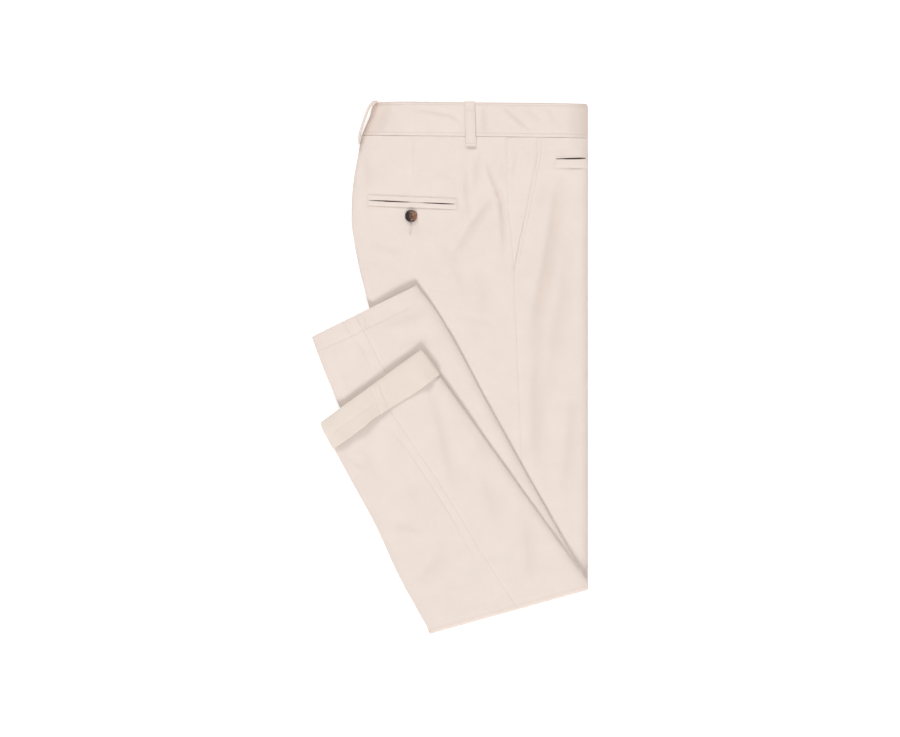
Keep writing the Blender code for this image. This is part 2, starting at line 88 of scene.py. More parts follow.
# Edges of the shins from the fold to the hem: share, back crease (x, y), front crease (x, y).
RIGHT_SHIN = [
    (0.25, (-60.5, -221.0), (117.4, -173.3)),
    (0.55, (-101.0, -123.0), (52.2, -56.2)),
    (0.80, (-137.0, -38.0), (2.0, 37.0)),
    (0.90, (-152.0, -2.0), (-17.0, 68.0)),
    (1.00, (-166.0, 35.0), (-39.0, 97.0)),
]
LEFT_SHIN = [
    (0.25, (-61.0, -251.0), (116.6, -190.1)),
    (0.50, (-88.4, -191.7), (66.8, -120.6)),
    (0.72, (-117.1, -139.0), (22.9, -59.4)),
    (0.86, (-135.3, -105.5), (-5.1, -20.4)),
    (1.00, (-153.9, -71.3), (-33.2, 18.8)),
]
OUTSEAM_SHARE = [(0.0, 0.54), (0.5, 0.544), (1.0, 0.527)]
INSEAM_SHARE = [(0.0, 0.45), (1.0, 0.42)]
CUFF_RISE_TABLE = [(0.0, 0.0), (0.5, 0.0), (0.86, CUFF_RISE), (1.0, CUFF_RISE)]

# ---------------------------------------------------------------- the fine cloth's own sizes
CELL = 3.0  # spacing of rows and columns
SEWN_GAP = 0.06  # gap between panels where they are sewn together
EDGE_PRESS = 0.46  # how much thinner a leg is pressed along its creases
EDGE_REACH = 10.0  # how far in from a crease the pressing reaches
EDGE_POWER = 2.4  # how much the pressing gathers at the crease
BAND_PRESS = (0.76, 24.0, 1.5)  # the same three for the waistband, which is pressed from further in
OVERHANG_DROOP = 5.0  # how far a shin sags where it passes beyond the thigh's back edge
OVERHANG_REACH = 80.0
FINE_ROWS = [(258.0, 274.0), (234.0, 255.0), (184.0, 209.0)]  # stretches of y with closer rows
FINE_CELL = 1.1
FOLD_ROWS = 16
END_REACH = 13.0  # stretch over which the turned-up leg's end is pinched thinner
HEM_PINCH = 0.50  # the right hem lies down thinner towards its back crease
HEM_PINCH_REACH = 34.0
HEM_LIFT = 1.3  # and stands up a little at its front crease
HEM_LIFT_REACH = 55.0
HEM_ZONE = 42.0  # stretch before the hem with closer rows
HEM_CELL = 1.3
GENTLE_SIDE = 1.7  # how much wider a crease's left bank is than its right
# Painted shade: the cloth's colour is darkened towards a shade colour in creases, in the trenches beside
# seams, along pressed creases, at the waistband's ends, top edge and seam, and round the knee fold, standing
# for the shade that falls there.
PAINTED_SHADE_DEPTH = 2.4  # a crease deeper than this takes no deeper painted shade
CREASE_PAINTED_SHADE = 0.088  # share of painted shade for each millimetre that a crease is deep
SEWN_PAINTED_SHADE = 0.16  # the same for the trenches beside seams
EDGE_PAINTED_SHADE = 0.10  # share of painted shade along the pressed creases
EDGE_PAINTED_SHADE_REACH = 15.0
BAND_END_PAINTED_SHADE = 0.34  # and at the waistband's two ends
BAND_END_REACH = 34.0
BAND_TOP_PAINTED_SHADE = 0.16  # along the waistband's top edge, and how far down that reaches
BAND_TOP_REACH = 2.6
BAND_SEAM_PAINTED_SHADE = 0.20  # along its seam, and how far up that reaches
BAND_SEAM_REACH = 1.2
TURN_PAINTED_SHADE = 0.24  # and round the fold at the knees


# ---------------------------------------------------------------- tables and curves
def smooth_table(table, key):
    """Smooth curve through a two-column table, with no overshoot, read at an array of keys."""
    xs = np.array([row[0] for row in table], float)
    ys = np.array([row[1] for row in table], float)
    key = np.clip(np.asarray(key, float), xs[0], xs[-1])
    steps = np.diff(xs)
    slopes = np.diff(ys) / steps
    tangents = np.zeros_like(ys)
    tangents[0] = slopes[0]
    tangents[-1] = slopes[-1]
    both = slopes[:-1] * slopes[1:]
    tangents[1:-1] = np.where(both > 0, 2 * both / (slopes[:-1] + slopes[1:] + 1e-12 * (both <= 0)), 0.0)
    i = np.clip(np.searchsorted(xs, key, side="right") - 1, 0, len(steps) - 1)
    t = (key - xs[i]) / steps[i]
    a = 2 * t**3 - 3 * t**2 + 1
    b = t**3 - 2 * t**2 + t
    c = -2 * t**3 + 3 * t**2
    d = t**3 - t**2
    return a * ys[i] + b * steps[i] * tangents[i] + c * ys[i + 1] + d * steps[i] * tangents[i + 1]


def ease(value):
    """Smooth step from 0 at 0 to 1 at 1."""
    value = np.clip(value, 0.0, 1.0)
    return value * value * (3 - 2 * value)


def press_at(inset, most=EDGE_PRESS, reach=EDGE_REACH, power=EDGE_POWER):
    """Share by which the stack is pressed thinner at a distance in from a crease, steepest at the crease."""
    return most * (1 - np.clip(inset / reach, 0, 1)) ** power


def ripple(x, y, wavelength, seed):
    """Gentle unevenness between about -1 and 1, the same each run."""
    total = np.zeros(np.broadcast(x, y).shape)
    picks = np.random.default_rng(seed)
    for _ in range(7):
        angle = picks.uniform(0, 2 * math.pi)
        scale = picks.uniform(0.7, 1.5) * 2 * math.pi / wavelength
        phase = picks.uniform(0, 2 * math.pi)
        total = total + np.sin((x * math.cos(angle) + y * math.sin(angle)) * scale + phase)
    return total / 3.5


# ---------------------------------------------------------------- creases
def crease_height(creases, x, y):
    """Height that a list of creases adds at the plan points x, y.

    A crease is (points, width, depth, ridge): a soft trough of that depth along its points, steeper on
    its right, where a ridge of ridge times the depth runs beside it. A negative depth is a raised fold.
    """
    total = np.zeros_like(x)
    for points, width, depth, ridge in creases:
        path = np.array(points, float)
        lengths = np.hypot(*np.diff(path, axis=0).T)
        before = np.concatenate([[0.0], np.cumsum(lengths)])
        best = np.full_like(x, 1e9)
        side = np.zeros_like(x)
        along = np.zeros_like(x)
        for i in range(len(lengths)):
            step = (path[i + 1] - path[i]) / lengths[i]
            dx = x - path[i][0]
            dy = y - path[i][1]
            reach = np.clip(dx * step[0] + dy * step[1], 0.0, lengths[i])
            away_x = dx - reach * step[0]
            away_y = dy - reach * step[1]
            gap = np.hypot(away_x, away_y)
            nearer = gap < best
            best = np.where(nearer, gap, best)
            side = np.where(nearer, step[0] * away_y - step[1] * away_x, side)
            along = np.where(nearer, (before[i] + reach) / before[-1], along)
        taper = np.sin(np.pi * np.clip(along, 0.02, 0.98)) ** 0.6
        trough = np.exp(-((best / np.where(side > 0, GENTLE_SIDE * width, width)) ** 2))
        bank = np.exp(-(((side + 1.9 * width) / (1.3 * width)) ** 2))
        bank = bank * (best < 5 * width)
        total += depth * taper * (ridge * bank - trough)
    return total


def crease_painted_shade(height, most_per_mm=CREASE_PAINTED_SHADE):
    """Share of painted shade down in creases of a given height."""
    return most_per_mm * np.clip(-height, 0.0, PAINTED_SHADE_DEPTH)


def edge_painted_shade(inset, most=EDGE_PAINTED_SHADE, reach=EDGE_PAINTED_SHADE_REACH):
    """Share of painted shade at a distance in from an edge."""
    return most * (1 - np.clip(inset / reach, 0, 1)) ** 2


BODY_CREASES = [
    ([(44, 246), (49, 231), (56, 214), (61, 199), (64, 172), (64, 142)], 2.2, 2.7, 0.32),
    ([(57, 206), (42, 188), (30, 172), (18, 154), (6, 132)], 3.3, 2.1, 0.32),
    ([(20, 236), (20, 205), (24, 178)], 3.0, 1.4, 0.27),
    ([(38, 262), (35, 246), (32, 232), (31, 214)], 2.8, 1.3, 0.27),
    ([(60, 258), (55, 246), (50, 238)], 2.2, 0.6, 0.23),
    ([(84, 262), (80, 240), (77, 222)], 3.2, 1.0, 0.23),
    ([(72, 252), (64, 240), (60, 224)], 2.8, 0.8, 0.23),
    ([(133, 226), (129, 204), (124, 160), (117, 120), (107, 74), (97, 28)], 6.0, 2.7, 0.27),
    ([(143, 150), (138, 100), (128, 40), (122, -20)], 6.5, 1.1, 0.23),
    ([(112, 60), (106, 20), (103, -40), (106, -90), (110, -130)], 6.5, 1.6, 0.23),
    ([(150, -30), (146, -90), (140, -150)], 7.0, 1.2, 0.18),
    ([(-96, 149), (-76, 141), (-54, 136)], 3.4, 0.50, 0.27),
    ([(-100, 128), (-78, 117), (-60, 113)], 3.8, 0.35, 0.23),
    ([(14, 58), (34, 55), (54, 50)], 3.4, 0.60, 0.23),
    ([(-12, 150), (6, 120), (18, 92)], 5.5, 0.8, 0.23),
    ([(30, 120), (40, 88), (44, 60)], 6.0, 0.8, 0.23),
    ([(-104, 258), (-97, 235), (-95, 214)], 5.0, 1.2, 0.18),
    ([(-20, 232), (2, 226), (20, 214)], 5.0, 0.50, 0.18),
    ([(130, 262), (141, 250), (150, 232)], 5.0, 0.70, 0.18),
    ([(-64, 170), (-30, 160), (0, 166)], 6.0, 0.45, 0.18),
    ([(118, 230), (112, 200), (114, 170)], 6.0, 0.75, 0.18),
    ([(8, 206), (14, 190), (18, 172)], 2.6, 0.90, 0.23),
]
# The dart, the trenches round the pocket welts and under the belt loop's foot.
SEWN_LINES = [
    ([(-43, 280), (-43, 226)], 0.9, 0.26, 0.6),
    ([(-101, 206.6), (11, 202.0)], 1.0, 0.44, 0.0),
    ([(-101, 191.8), (11, 187.2)], 1.0, 0.55, 0.0),
    ([(-98.6, 209), (-98.6, 189)], 1.2, 0.50, 0.0),
    ([(8.6, 205), (8.6, 184)], 1.2, 0.50, 0.0),
    ([(124, 236.9), (172, 236.9)], 1.1, 0.65, 0.0),
    ([(125.6, 251), (125.6, 235)], 1.2, 0.60, 0.0),
    ([(124, 251.8), (172, 252.4)], 0.9, 0.28, 0.3),
    ([(17, 262.6), (35, 262.6)], 1.3, 0.60, 0.0),
]
RIGHT_SHIN_CREASES = [
    ([(-83, 50), (-55, 56), (-23, 67)], 5.0, 0.75, 0.25),
    ([(-70, 22), (-45, 30), (-20, 30)], 5.5, 0.60, 0.25),
    ([(-136, 10), (-126, -8), (-118, -30)], 5.0, 0.60, 0.2),
    ([(-115, 36), (-105, 20), (-94, 0)], 1.4, 0.55, 0.2),
    ([(-127, 53), (-122, 44), (-117, 35)], 1.2, 0.95, 0.15),
    ([(-101, 62), (-101, 52), (-100, 43)], 1.2, 0.70, 0.15),
    ([(-114, 58), (-109, 47), (-106, 38)], 5.5, -0.75, 0.0),
]
LEFT_SHIN_CREASES = [
    ([(-24, -26), (-16, -50), (-9, -80), (0, -118), (6, -146)], 5.0, 1.3, 0.24),
    ([(91, -178), (95, -210), (98, -258)], 5.5, 1.1, 0.2),
    ([(-70, -190), (-52, -193), (-33, -198)], 3.6, 0.70, 0.2),
    ([(-126, -110), (-112, -116), (-96, -128)], 3.4, 0.80, 0.2),
    ([(-104, -92), (-96, -116), (-84, -140)], 5.0, 0.65, 0.2),
    ([(40, -130), (52, -160), (60, -196)], 6.5, 0.90, 0.2),
    ([(-6, -214), (-20, -240), (-40, -262)], 6.5, 0.90, 0.2),
    ([(20, -60), (36, -92), (50, -116)], 5.0, 0.50, 0.2),
    ([(-52, -128), (-40, -160), (-30, -180)], 5.5, 0.45, 0.16),
    ([(-74, -71), (-48, -103), (-20, -145), (1, -178), (34, -237)], 1.2, 0.42, 0.2),
]
UNDER_CREASES = [
    ([(20, 240), (44, 205), (60, 160)], 5.0, 0.70, 0.5),
    ([(-70, 150), (-46, 128), (-20, 118)], 5.0, 0.60, 0.5),
    ([(120, 190), (112, 120), (104, 50)], 7.0, 0.70, 0.5),
    ([(140, 20), (132, -60), (126, -140)], 7.0, 0.55, 0.5),
    ([(10, 40), (26, 4), (34, -60)], 6.5, 0.60, 0.5),
    ([(-40, -20), (-22, -80), (-12, -140)], 6.0, 0.50, 0.4),
]
BAND_CREASES = [
    ([(-44, 309), (-20, 305), (2, 301), (18, 290)], 2.2, 1.10, 0.27),
    ([(66, 311), (74, 303), (84, 294), (96, 284)], 2.4, 1.25, 0.27),
    ([(43, 313), (42, 296), (44, 279)], 3.2, 1.35, 0.27),
    ([(92, 310), (100, 302), (112, 296)], 3.2, 0.70, 0.23),
    ([(112, 312), (122, 304), (128, 290)], 4.0, 0.75, 0.23),
    ([(-72, 314), (-79, 300), (-85, 282)], 4.6, 1.50, 0.23),
    ([(-62, 306), (-66, 296), (-64, 284)], 4.0, 0.35, 0.18),
    ([(148, 306), (150, 294), (147, 282)], 3.4, 0.40, 0.23),
]


# ---------------------------------------------------------------- a leg as rows of sections
RIGHT_FOLD_SLANT = 12.5  # degrees of the right leg's knee fold from straight across
LEFT_FOLD_SLANT = 15.5
LEFT_INSET = 0.8  # how far the left leg's back edge lies inside the right one's
PANEL_TOP = 273.6  # where the panels end, under the waistband's seam
WAIST_FROM = 250.0  # where the panels begin to follow the waistband, and over what length
WAIST_REACH = 23.6
BACK_RISE = 3.3  # how much further up the panels' back edge ends


class Leg:
    """Arrays with one entry for each section of a flattened leg, from the waist to the hem."""

    def __init__(self, angle, shin, rises, inset, right, pinch, pinch_reach):
        self.right = right
        self.pinch = pinch
        self.pinch_reach = pinch_reach
        slant = math.radians(angle)
        along = np.array([math.cos(slant), math.sin(slant)])
        self.outward = np.array([math.sin(slant), -math.cos(slant)])
        end_y = FOLD_PIVOT[1]
        for _ in range(8):
            end_y = FOLD_PIVOT[1] - math.tan(slant) * (FRONT_X - float(smooth_table(BACK_EDGE, end_y)))

        front_y = row_places(PANEL_TOP, FOLD_PIVOT[1])
        share = (POCKET_FOOT_Y - front_y) / (POCKET_FOOT_Y - FOLD_PIVOT[1])
        back_y = np.where(share > 0, POCKET_FOOT_Y + (end_y - POCKET_FOOT_Y) * share, front_y)
        at_waist = ease((front_y - WAIST_FROM) / WAIST_REACH)
        back_y = back_y + BACK_RISE * at_waist
        back = np.stack([smooth_table(BACK_EDGE, back_y) + inset, back_y], 1)
        front = np.stack([np.full_like(front_y, FRONT_X), front_y], 1)
        side = share_of(SIDE_SEAM, back, front)
        mouth = share_of(POCKET_MOUTH, back, front)
        seam_y = back[:, 1] + (front[:, 1] - back[:, 1]) * side
        front_start = np.where(seam_y > POCKET_FOOT_Y, np.maximum(mouth, side), side)
        reach = ease((-225.0 - front_y) / 25.0)
        rows = len(front_y)

        turn = np.linspace(0, math.pi, FOLD_ROWS + 1)[1:]
        corner = np.outer(np.sin(turn) * FOLD_CORNER_INSET, along)
        fold_back = np.repeat(back[-1:], FOLD_ROWS, 0)
        fold_front = front[-1] - corner
        fold_side = side[-1] + (0.54 - side[-1]) * turn / math.pi

        table = [(0.0, tuple(back[-1]), tuple(front[-1]))] + shin
        length = math.dist(shin[-1][1], back[-1])
        plain = np.arange(CELL, length - HEM_ZONE, CELL)
        shares = np.concatenate([plain, np.arange(length - HEM_ZONE, length, HEM_CELL), [length]]) / length
        count = len(shares)
        shin_back = np.stack([smooth_table([(r[0], r[1][k]) for r in table], shares) for k in (0, 1)], 1)
        shin_front = np.stack([smooth_table([(r[0], r[2][k]) for r in table], shares) for k in (0, 1)], 1)
        shin_side = smooth_table(OUTSEAM_SHARE, shares)

        self.back = np.concatenate([back, fold_back, shin_back])
        self.front = np.concatenate([front, fold_front, shin_front])
        self.side = np.concatenate([side, fold_side, shin_side])
        self.front_start = np.concatenate([front_start, fold_side, shin_side])
        self.inner = np.concatenate([np.full(rows + FOLD_ROWS, 0.45), smooth_table(INSEAM_SHARE, shares)])
        self.reach = np.concatenate([reach, np.ones(FOLD_ROWS + count)])
        self.turn = np.concatenate([np.zeros(rows), turn, np.full(count, math.pi)])
        self.at_waist = np.concatenate([at_waist, np.zeros(FOLD_ROWS + count)])
        self.rise = np.concatenate([np.zeros(rows + FOLD_ROWS), smooth_table(rises, shares)])
        self.width = np.hypot(*(self.front - self.back).T)
        self.to_hem = np.concatenate([np.full(rows + FOLD_ROWS, 1e3), (1 - shares) * length])
        centres = (self.back + self.front) / 2
        steps = np.hypot(*np.diff(centres, axis=0).T)
        steps = np.where(steps < 1e-6, FOLD_AXIS_Z * math.pi / 2 / FOLD_ROWS, steps)
        self.along = np.concatenate([[0.0], np.cumsum(steps)])
        shift = (TUBE + LEG_GAP) / 2
        self.middle = MID_PLANE + (shift if right else -shift)
        self.base = LEG_GAP / 2 if right else TUBE + 1.5 * LEG_GAP

    def place(self, across, height):
        """Points at arrays of distance across from the back crease and height in the unfolded stack."""
        column = (slice(None), None)
        share = across / self.width[column]
        x = self.back[:, 0][column] + (self.front - self.back)[:, 0][column] * share
        y = self.back[:, 1][column] + (self.front - self.back)[:, 1][column] * share
        turn = self.turn[column]
        inset = np.minimum(across, self.width[column] - across)
        press = press_at(inset)
        press = press + (press_at(inset, *BAND_PRESS) - press) * self.at_waist[column]
        end = self.pinch * np.clip(1 - self.to_hem / self.pinch_reach, 0, 1)[column] ** 2
        if self.right:
            end = end * (1 - ease((share - 0.30) / 0.50))
        height = self.middle + (height - self.middle) * (1 - end)
        thigh_press = press * (1 - ease(turn / (math.pi / 2)))
        shin_press = press * ease(turn / (math.pi / 2) - 1)
        radius = FOLD_AXIS_Z - height * (1 - thigh_press)
        radius = self.base + (radius - self.base) * (1 - shin_press)
        reach = (FOLD_AXIS_Z - height) * np.sin(turn)
        z = FOLD_AXIS_Z - radius * np.cos(turn) + self.rise[column]
        z = z + np.where(turn == 0, smooth_table(LIFT, y), 0.0)
        x = x + self.outward[0] * reach
        y = y + self.outward[1] * reach
        z = z - np.where(turn > 3.0, droop(x, y), 0.0)
        if self.right:
            near_hem = np.clip(1 - self.to_hem / HEM_LIFT_REACH, 0, 1)[column]
            lift = HEM_LIFT * ease((share - 0.5) / 0.5) * near_hem**2
            z = z - end * TUBE / 2 + lift
        return np.stack([x, y, z], -1)


def row_places(start, end):
    """Places of a thigh's rows from the waist seam down, closer where there are pockets."""
    places = [start]
    while places[-1] > end + CELL:
        fine = any(low < places[-1] <= high for low, high in FINE_ROWS)
        places.append(places[-1] - (FINE_CELL if fine else CELL))
    return np.array(places[:-1] + [end])


def share_of(table, back, front):
    share = np.full(len(back), 0.6)
    for _ in range(8):
        y = back[:, 1] + (front[:, 1] - back[:, 1]) * share
        share = (smooth_table(table, y) - back[:, 0]) / (front[:, 0] - back[:, 0])
    return share


def droop(x, y):
    """How far what lies beyond the thigh's back edge has sagged."""
    beyond = smooth_table(BACK_EDGE, y) - x
    return OVERHANG_DROOP * ease(beyond / OVERHANG_REACH)


# ---------------------------------------------------------------- meshes
def to_world(points):
    points = np.asarray(points, float).copy()
    points[..., 0] -= ORIGIN[0]
    points[..., 1] -= ORIGIN[1]
    return points * MM


def new_object(name, mesh, material, replaces=()):
    mesh.materials.append(material)
    piece = bpy.data.objects.new(name, mesh)
    bpy.context.collection.objects.link(piece)
    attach(piece, BODY)
    if replaces:
        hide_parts(*replaces)
    return piece


def mesh_from(points, faces, name, smooth_angle=50.0, weave=None, painted_shade=None):
    """Closed mesh from points in millimetres.

    weave is each point's place on the flat cloth, and the painted shade how much darker its colour is painted
    where shade falls.
    """
    mesh = bpy.data.meshes.new(name)
    mesh.from_pydata(to_world(points).reshape(-1, 3).tolist(), [], faces)
    if weave is None:
        weave = points
    layer = mesh.attributes.new("weave", "FLOAT_VECTOR", "POINT")
    layer.data.foreach_set("vector", np.asarray(weave, float).reshape(-1))
    if painted_shade is not None:
        mesh.attributes.new("painted_shade", "FLOAT", "POINT").data.foreach_set("value", painted_shade.reshape(-1))
    work = bmesh.new()
    work.from_mesh(mesh)
    bmesh.ops.recalc_face_normals(work, faces=work.faces)
    work.to_mesh(mesh)
    work.free()
    mesh.shade_smooth()
    mesh.set_sharp_from_angle(angle=math.radians(smooth_angle))
    return mesh


def quads_of(index):
    """Quads between neighbours in a grid of point numbers."""
    corners = [index[:-1, :-1], index[:-1, 1:], index[1:, 1:], index[1:, :-1]]
    return np.stack(corners, -1).reshape(-1, 4)


def wall_mesh(outer, inner, name, weave=None, painted_shade=None):
    """Closed wall between two grids of points with the same rows and columns."""
    if weave is not None:
        weave = np.concatenate([weave.reshape(-1, 3), weave.reshape(-1, 3)])
    if painted_shade is not None:
        painted_shade = np.tile(painted_shade.reshape(-1), 2)
    rows, columns = outer.shape[:2]
    points = np.concatenate([outer.reshape(-1, 3), inner.reshape(-1, 3)])
    index = np.arange(rows * columns).reshape(rows, columns)
    below = rows * columns
    faces = quads_of(index).tolist() + (quads_of(index) + below).tolist()
    for line in (index[0], index[-1], index[:, 0], index[:, -1]):
        for i, j in zip(line[:-1], line[1:]):
            faces.append((int(i), int(j), int(j) + below, int(i) + below))
    return mesh_from(points, faces, name, weave=weave, painted_shade=painted_shade)


def ring_wall_mesh(rings, name, capped):
    """Closed solid through rings of points; without caps the last ring joins the first."""
    count, around = rings.shape[:2]
    index = np.arange(count * around).reshape(count, around)
    if not capped:
        index = np.concatenate([index, index[:1]])
    index = np.concatenate([index, index[:, :1]], 1)
    faces = quads_of(index).tolist()
    if capped:
        faces.append(tuple(range(around)))
        faces.append(tuple(range((count - 1) * around, count * around)))
    return mesh_from(rings.reshape(-1, 3), faces, name)


def ring_piece(name, rings, material, replaces=(), capped=True):
    return new_object(name, ring_wall_mesh(np.array(rings), name, capped), material, replaces)


# ---------------------------------------------------------------- panels
ARC_COLUMNS = 10
SEAM_COLUMNS = [0.0, 0.3, 0.8, 1.6, 2.6, 3.4, 4.0, 4.6, 5.6, 7.5]  # distances from the seam, closer there
INSEAM_COLUMNS = [0.0, 0.3, 0.8, 1.6, 2.6, 4.0, 5.0, 6.0, 7.0, 8.0, 9.0, 10.0, 11.5, 13.0]


def panel_columns(leg, start, toward_front, extra):
    """Distance across, place round the section (degrees) and half-height sign for each column."""
    width = leg.width
    centre = TUBE / 2
    way = 1.0 if toward_front else -1.0
    turn_at = width - centre if toward_front else np.full_like(width, centre)
    seam = leg.inner * width
    tuck_end = width - centre - TUCK if toward_front else np.full_like(width, centre + TUCK)
    inner_end = tuck_end + (seam + way * SEWN_GAP / 2 - tuck_end) * leg.reach
    span = (turn_at - start) * way
    last = SEAM_COLUMNS[-1]
    count = int((span.max() - last) / CELL)
    flat = [np.full_like(width, offset) for offset in SEAM_COLUMNS + extra]
    for step in range(1, count + 1):
        flat.append(last + (span - last) * step / count)
    flat = np.sort(np.minimum(np.stack(flat, 1), span[:, None] - 1e-3), axis=1)
    flat_across = start[:, None] + way * flat
    arc = np.linspace(0, math.pi, ARC_COLUMNS + 1)[1:]
    reach = inner_end - turn_at
    count = int(np.abs(reach).max() / CELL)
    near_seam = np.array(SEAM_COLUMNS[::-1]) if toward_front else np.array(INSEAM_COLUMNS[::-1])
    plain = np.linspace(0, 1, count + 1)[1:-2]
    steps = np.abs(reach)[:, None] * plain
    closing = np.abs(reach)[:, None] - near_seam * np.minimum(np.abs(reach) / 60.0, 1.0)[:, None]
    steps = np.sort(np.concatenate([steps, closing], 1), axis=1)
    inner_across = turn_at[:, None] + np.sign(reach)[:, None] * steps
    return flat_across, flat, turn_at, way, arc, inner_across


def panel_surface(leg, start, toward_front, half, creases, extra):
    """One surface of a panel: its outer face, crease and inner face, with creases pressed in."""
    flat_across, from_seam, turn_at, way, arc, inner_across = panel_columns(leg, start, toward_front, extra)
    sign = 1.0 if leg.right else -1.0
    on_shin = (leg.turn > 3.0)[:, None]
    faces = []
    faces.append((flat_across, np.full_like(flat_across, leg.middle + sign * half)))
    arc_across = turn_at[:, None] + way * half * np.sin(arc)
    arc_height = leg.middle + sign * half * np.cos(arc) + np.zeros_like(arc_across)
    faces.append((arc_across, arc_height))
    faces.append((inner_across, np.full_like(inner_across, leg.middle - sign * half)))
    across = np.concatenate([f[0] for f in faces], 1)
    height = np.concatenate([f[1] for f in faces], 1)
    points = leg.place(across, height)
    x = points[..., 0]
    y = points[..., 1]
    outer_count = flat_across.shape[1]
    outer_face = np.zeros(across.shape)
    outer_face[:, :outer_count] = 1.0
    fade = ease((turn_at[:, None] - flat_across) * way / 6.0)
    outer_face[:, :outer_count] *= fade
    inner_count = inner_across.shape[1]
    inner_face = np.zeros(across.shape)
    inner_face[:, -inner_count:] = ease((turn_at[:, None] - inner_across) * way / 6.0)
    dip = np.zeros(across.shape)
    dip[:, :outer_count] = seam_dip(from_seam)
    dip[:, -inner_count:] = seam_dip(np.abs(inner_across - inner_across[:, -1:]))
    shaped, painted_shade = panel_relief(leg, x, y, outer_face, inner_face, on_shin, creases)
    if toward_front:
        ridge = np.exp(-(((from_seam - 2.2) / 1.3) ** 2)) * 0.10
        beside = ridge - np.exp(-(((from_seam - 4.0) / 0.8) ** 2)) * 0.15
        shaped[:, :outer_count] += beside * sign * (leg.front_start > leg.side + 1e-4)[:, None]
    # painted shade along the pressed creases, where the cloth rounds away
    painted_shade = painted_shade + edge_painted_shade(np.minimum(across, leg.width[:, None] - across))
    up = surface_direction(leg, outer_count, inner_count, across.shape)
    points[..., 2] += shaped - dip * up
    turned = turn_at[:, None]
    far_side = turned * 2 + way * math.pi * half - inner_across
    round_section = [flat_across, turned + way * half * arc, far_side]
    weave = np.stack([np.concatenate(round_section, 1), leg.along[:, None] + np.zeros(across.shape),
                      np.zeros(across.shape)], -1)
    return points, weave, painted_shade


def seam_dip(away):
    """How far cloth turns down beside a seam."""
    return 0.32 * np.exp(-((away / 0.7) ** 2))


def surface_direction(leg, outer_count, inner_count, shape):
    """+1 where a panel's outward side faces up and -1 where it faces down; 0 round creases and folds."""
    up = np.zeros(shape)
    flat = np.where(leg.turn == 0, 1.0, np.where(leg.turn > 3.0, -1.0, 0.0))[:, None]
    side = 1.0 if leg.right else -1.0
    up[:, :outer_count] = side * flat
    up[:, -inner_count:] = -side * flat
    return up


def panel_relief(leg, x, y, outer_face, inner_face, on_shin, creases):
    """Height added to a panel by its creases and a slight unevenness where it shows, and its painted shade in
    creases, seam trenches and round the knee fold.
    """
    thigh = ~on_shin & (leg.turn[:, None] == 0)
    on_thigh = crease_height(creases["thigh"], x, y)
    on_lower = crease_height(creases["shin"], x, y)
    if leg.right:
        body = on_thigh + 0.24 * ripple(x, y, 70.0, 3) + 0.09 * ripple(x, y, 24.0, 4)
        sewn = crease_height(SEWN_LINES, x, y)
        body = np.where(shin_cover(x, y), np.clip(body, -0.5, 0.25), body) + sewn
        shin = on_lower + 0.22 * ripple(x, y, 60.0, 5) + 0.08 * ripple(x, y, 22.0, 6)
        shin = shin + hem_relief(leg.to_hem[:, None] + 0 * x)
        shin_face = inner_face
        # painted shade down in the creases and in the trenches beside seams
        painted_shade = np.where(thigh, crease_painted_shade(on_thigh) + crease_painted_shade(sewn, SEWN_PAINTED_SHADE), 0.0) * outer_face
    else:
        body = np.maximum(-on_thigh, 0.0) + 0.08
        shin = on_lower + 0.26 * ripple(x, y, 60.0, 7) + 0.08 * ripple(x, y, 22.0, 8)
        shin_face = outer_face
        painted_shade = np.where(thigh, crease_painted_shade(on_thigh), 0.0) * outer_face
    relief = np.where(thigh, body * outer_face, 0.0) + np.where(on_shin, shin * shin_face, 0.0)
    painted_shade = painted_shade + np.where(on_shin, crease_painted_shade(on_lower), 0.0) * shin_face
    # the return adds painted shade round the fold at the knees
    return relief, painted_shade + TURN_PAINTED_SHADE * np.sin(leg.turn)[:, None]


HEM_STITCH = 18.0  # distance of the hem's stitches from its edge


def hem_relief(to_hem):
    """The turned-in hem stands a little proud, up to the groove of its stitches."""
    proud = 0.14 * (1 - ease((to_hem - HEM_STITCH + 1.0) / 2.4))
    groove = 0.20 * np.exp(-(((to_hem - HEM_STITCH) / 0.9) ** 2))
    rounded = 0.35 * np.exp(-((to_hem / 0.7) ** 2))
    return proud - groove - rounded


def shin_cover(x, y):
    """Where the right shin lies on the thigh."""
    low = RIGHT_SHIN[-1]
    edge = smooth_table([(r[2][1], r[2][0]) for r in [(0, 0, FOLD_PIVOT)] + RIGHT_SHIN], y)
    hem = low[1][1] + (x - low[1][0]) * (low[2][1] - low[1][1]) / (low[2][0] - low[1][0])
    return (x < edge + 6.0) & (y < hem + 6.0)


def make_panel(name, node, leg, toward_front, creases, material, extra=()):
    if toward_front:
        start = leg.front_start * leg.width + SEWN_GAP / 2
    else:
        start = leg.side * leg.width - SEWN_GAP / 2
    outer, weave, painted_shade = panel_surface(leg, start, toward_front, TUBE / 2, creases, list(extra))
    inner, _, _ = panel_surface(leg, start, toward_front, TUBE / 2 - CLOTH, creases, list(extra))
    return new_object(name, wall_mesh(outer, inner, name, weave, painted_shade), material, [node])


# ---------------------------------------------------------------- lying on a surface
def surface_of(*pieces):
    """Search tree of the pieces' faces, in metres."""
    points = []
    faces = []
    for piece in pieces:
        start = len(points)
        points += [vert.co.copy() for vert in piece.data.vertices]
        faces += [[start + i for i in face.vertices] for face in piece.data.polygons]
    return BVHTree.FromPolygons(points, faces)


def height_on(tree, x, y, above=True):
    """Height in millimetres of the topmost, or lowest, face of a surface at a plan point."""
    place = Vector(((x - ORIGIN[0]) * MM, (y - ORIGIN[1]) * MM, 0.1 if above else -0.1))
    hit = tree.ray_cast(place, Vector((0, 0, -1 if above else 1)))
    return hit[0].z / MM if hit[0] else None


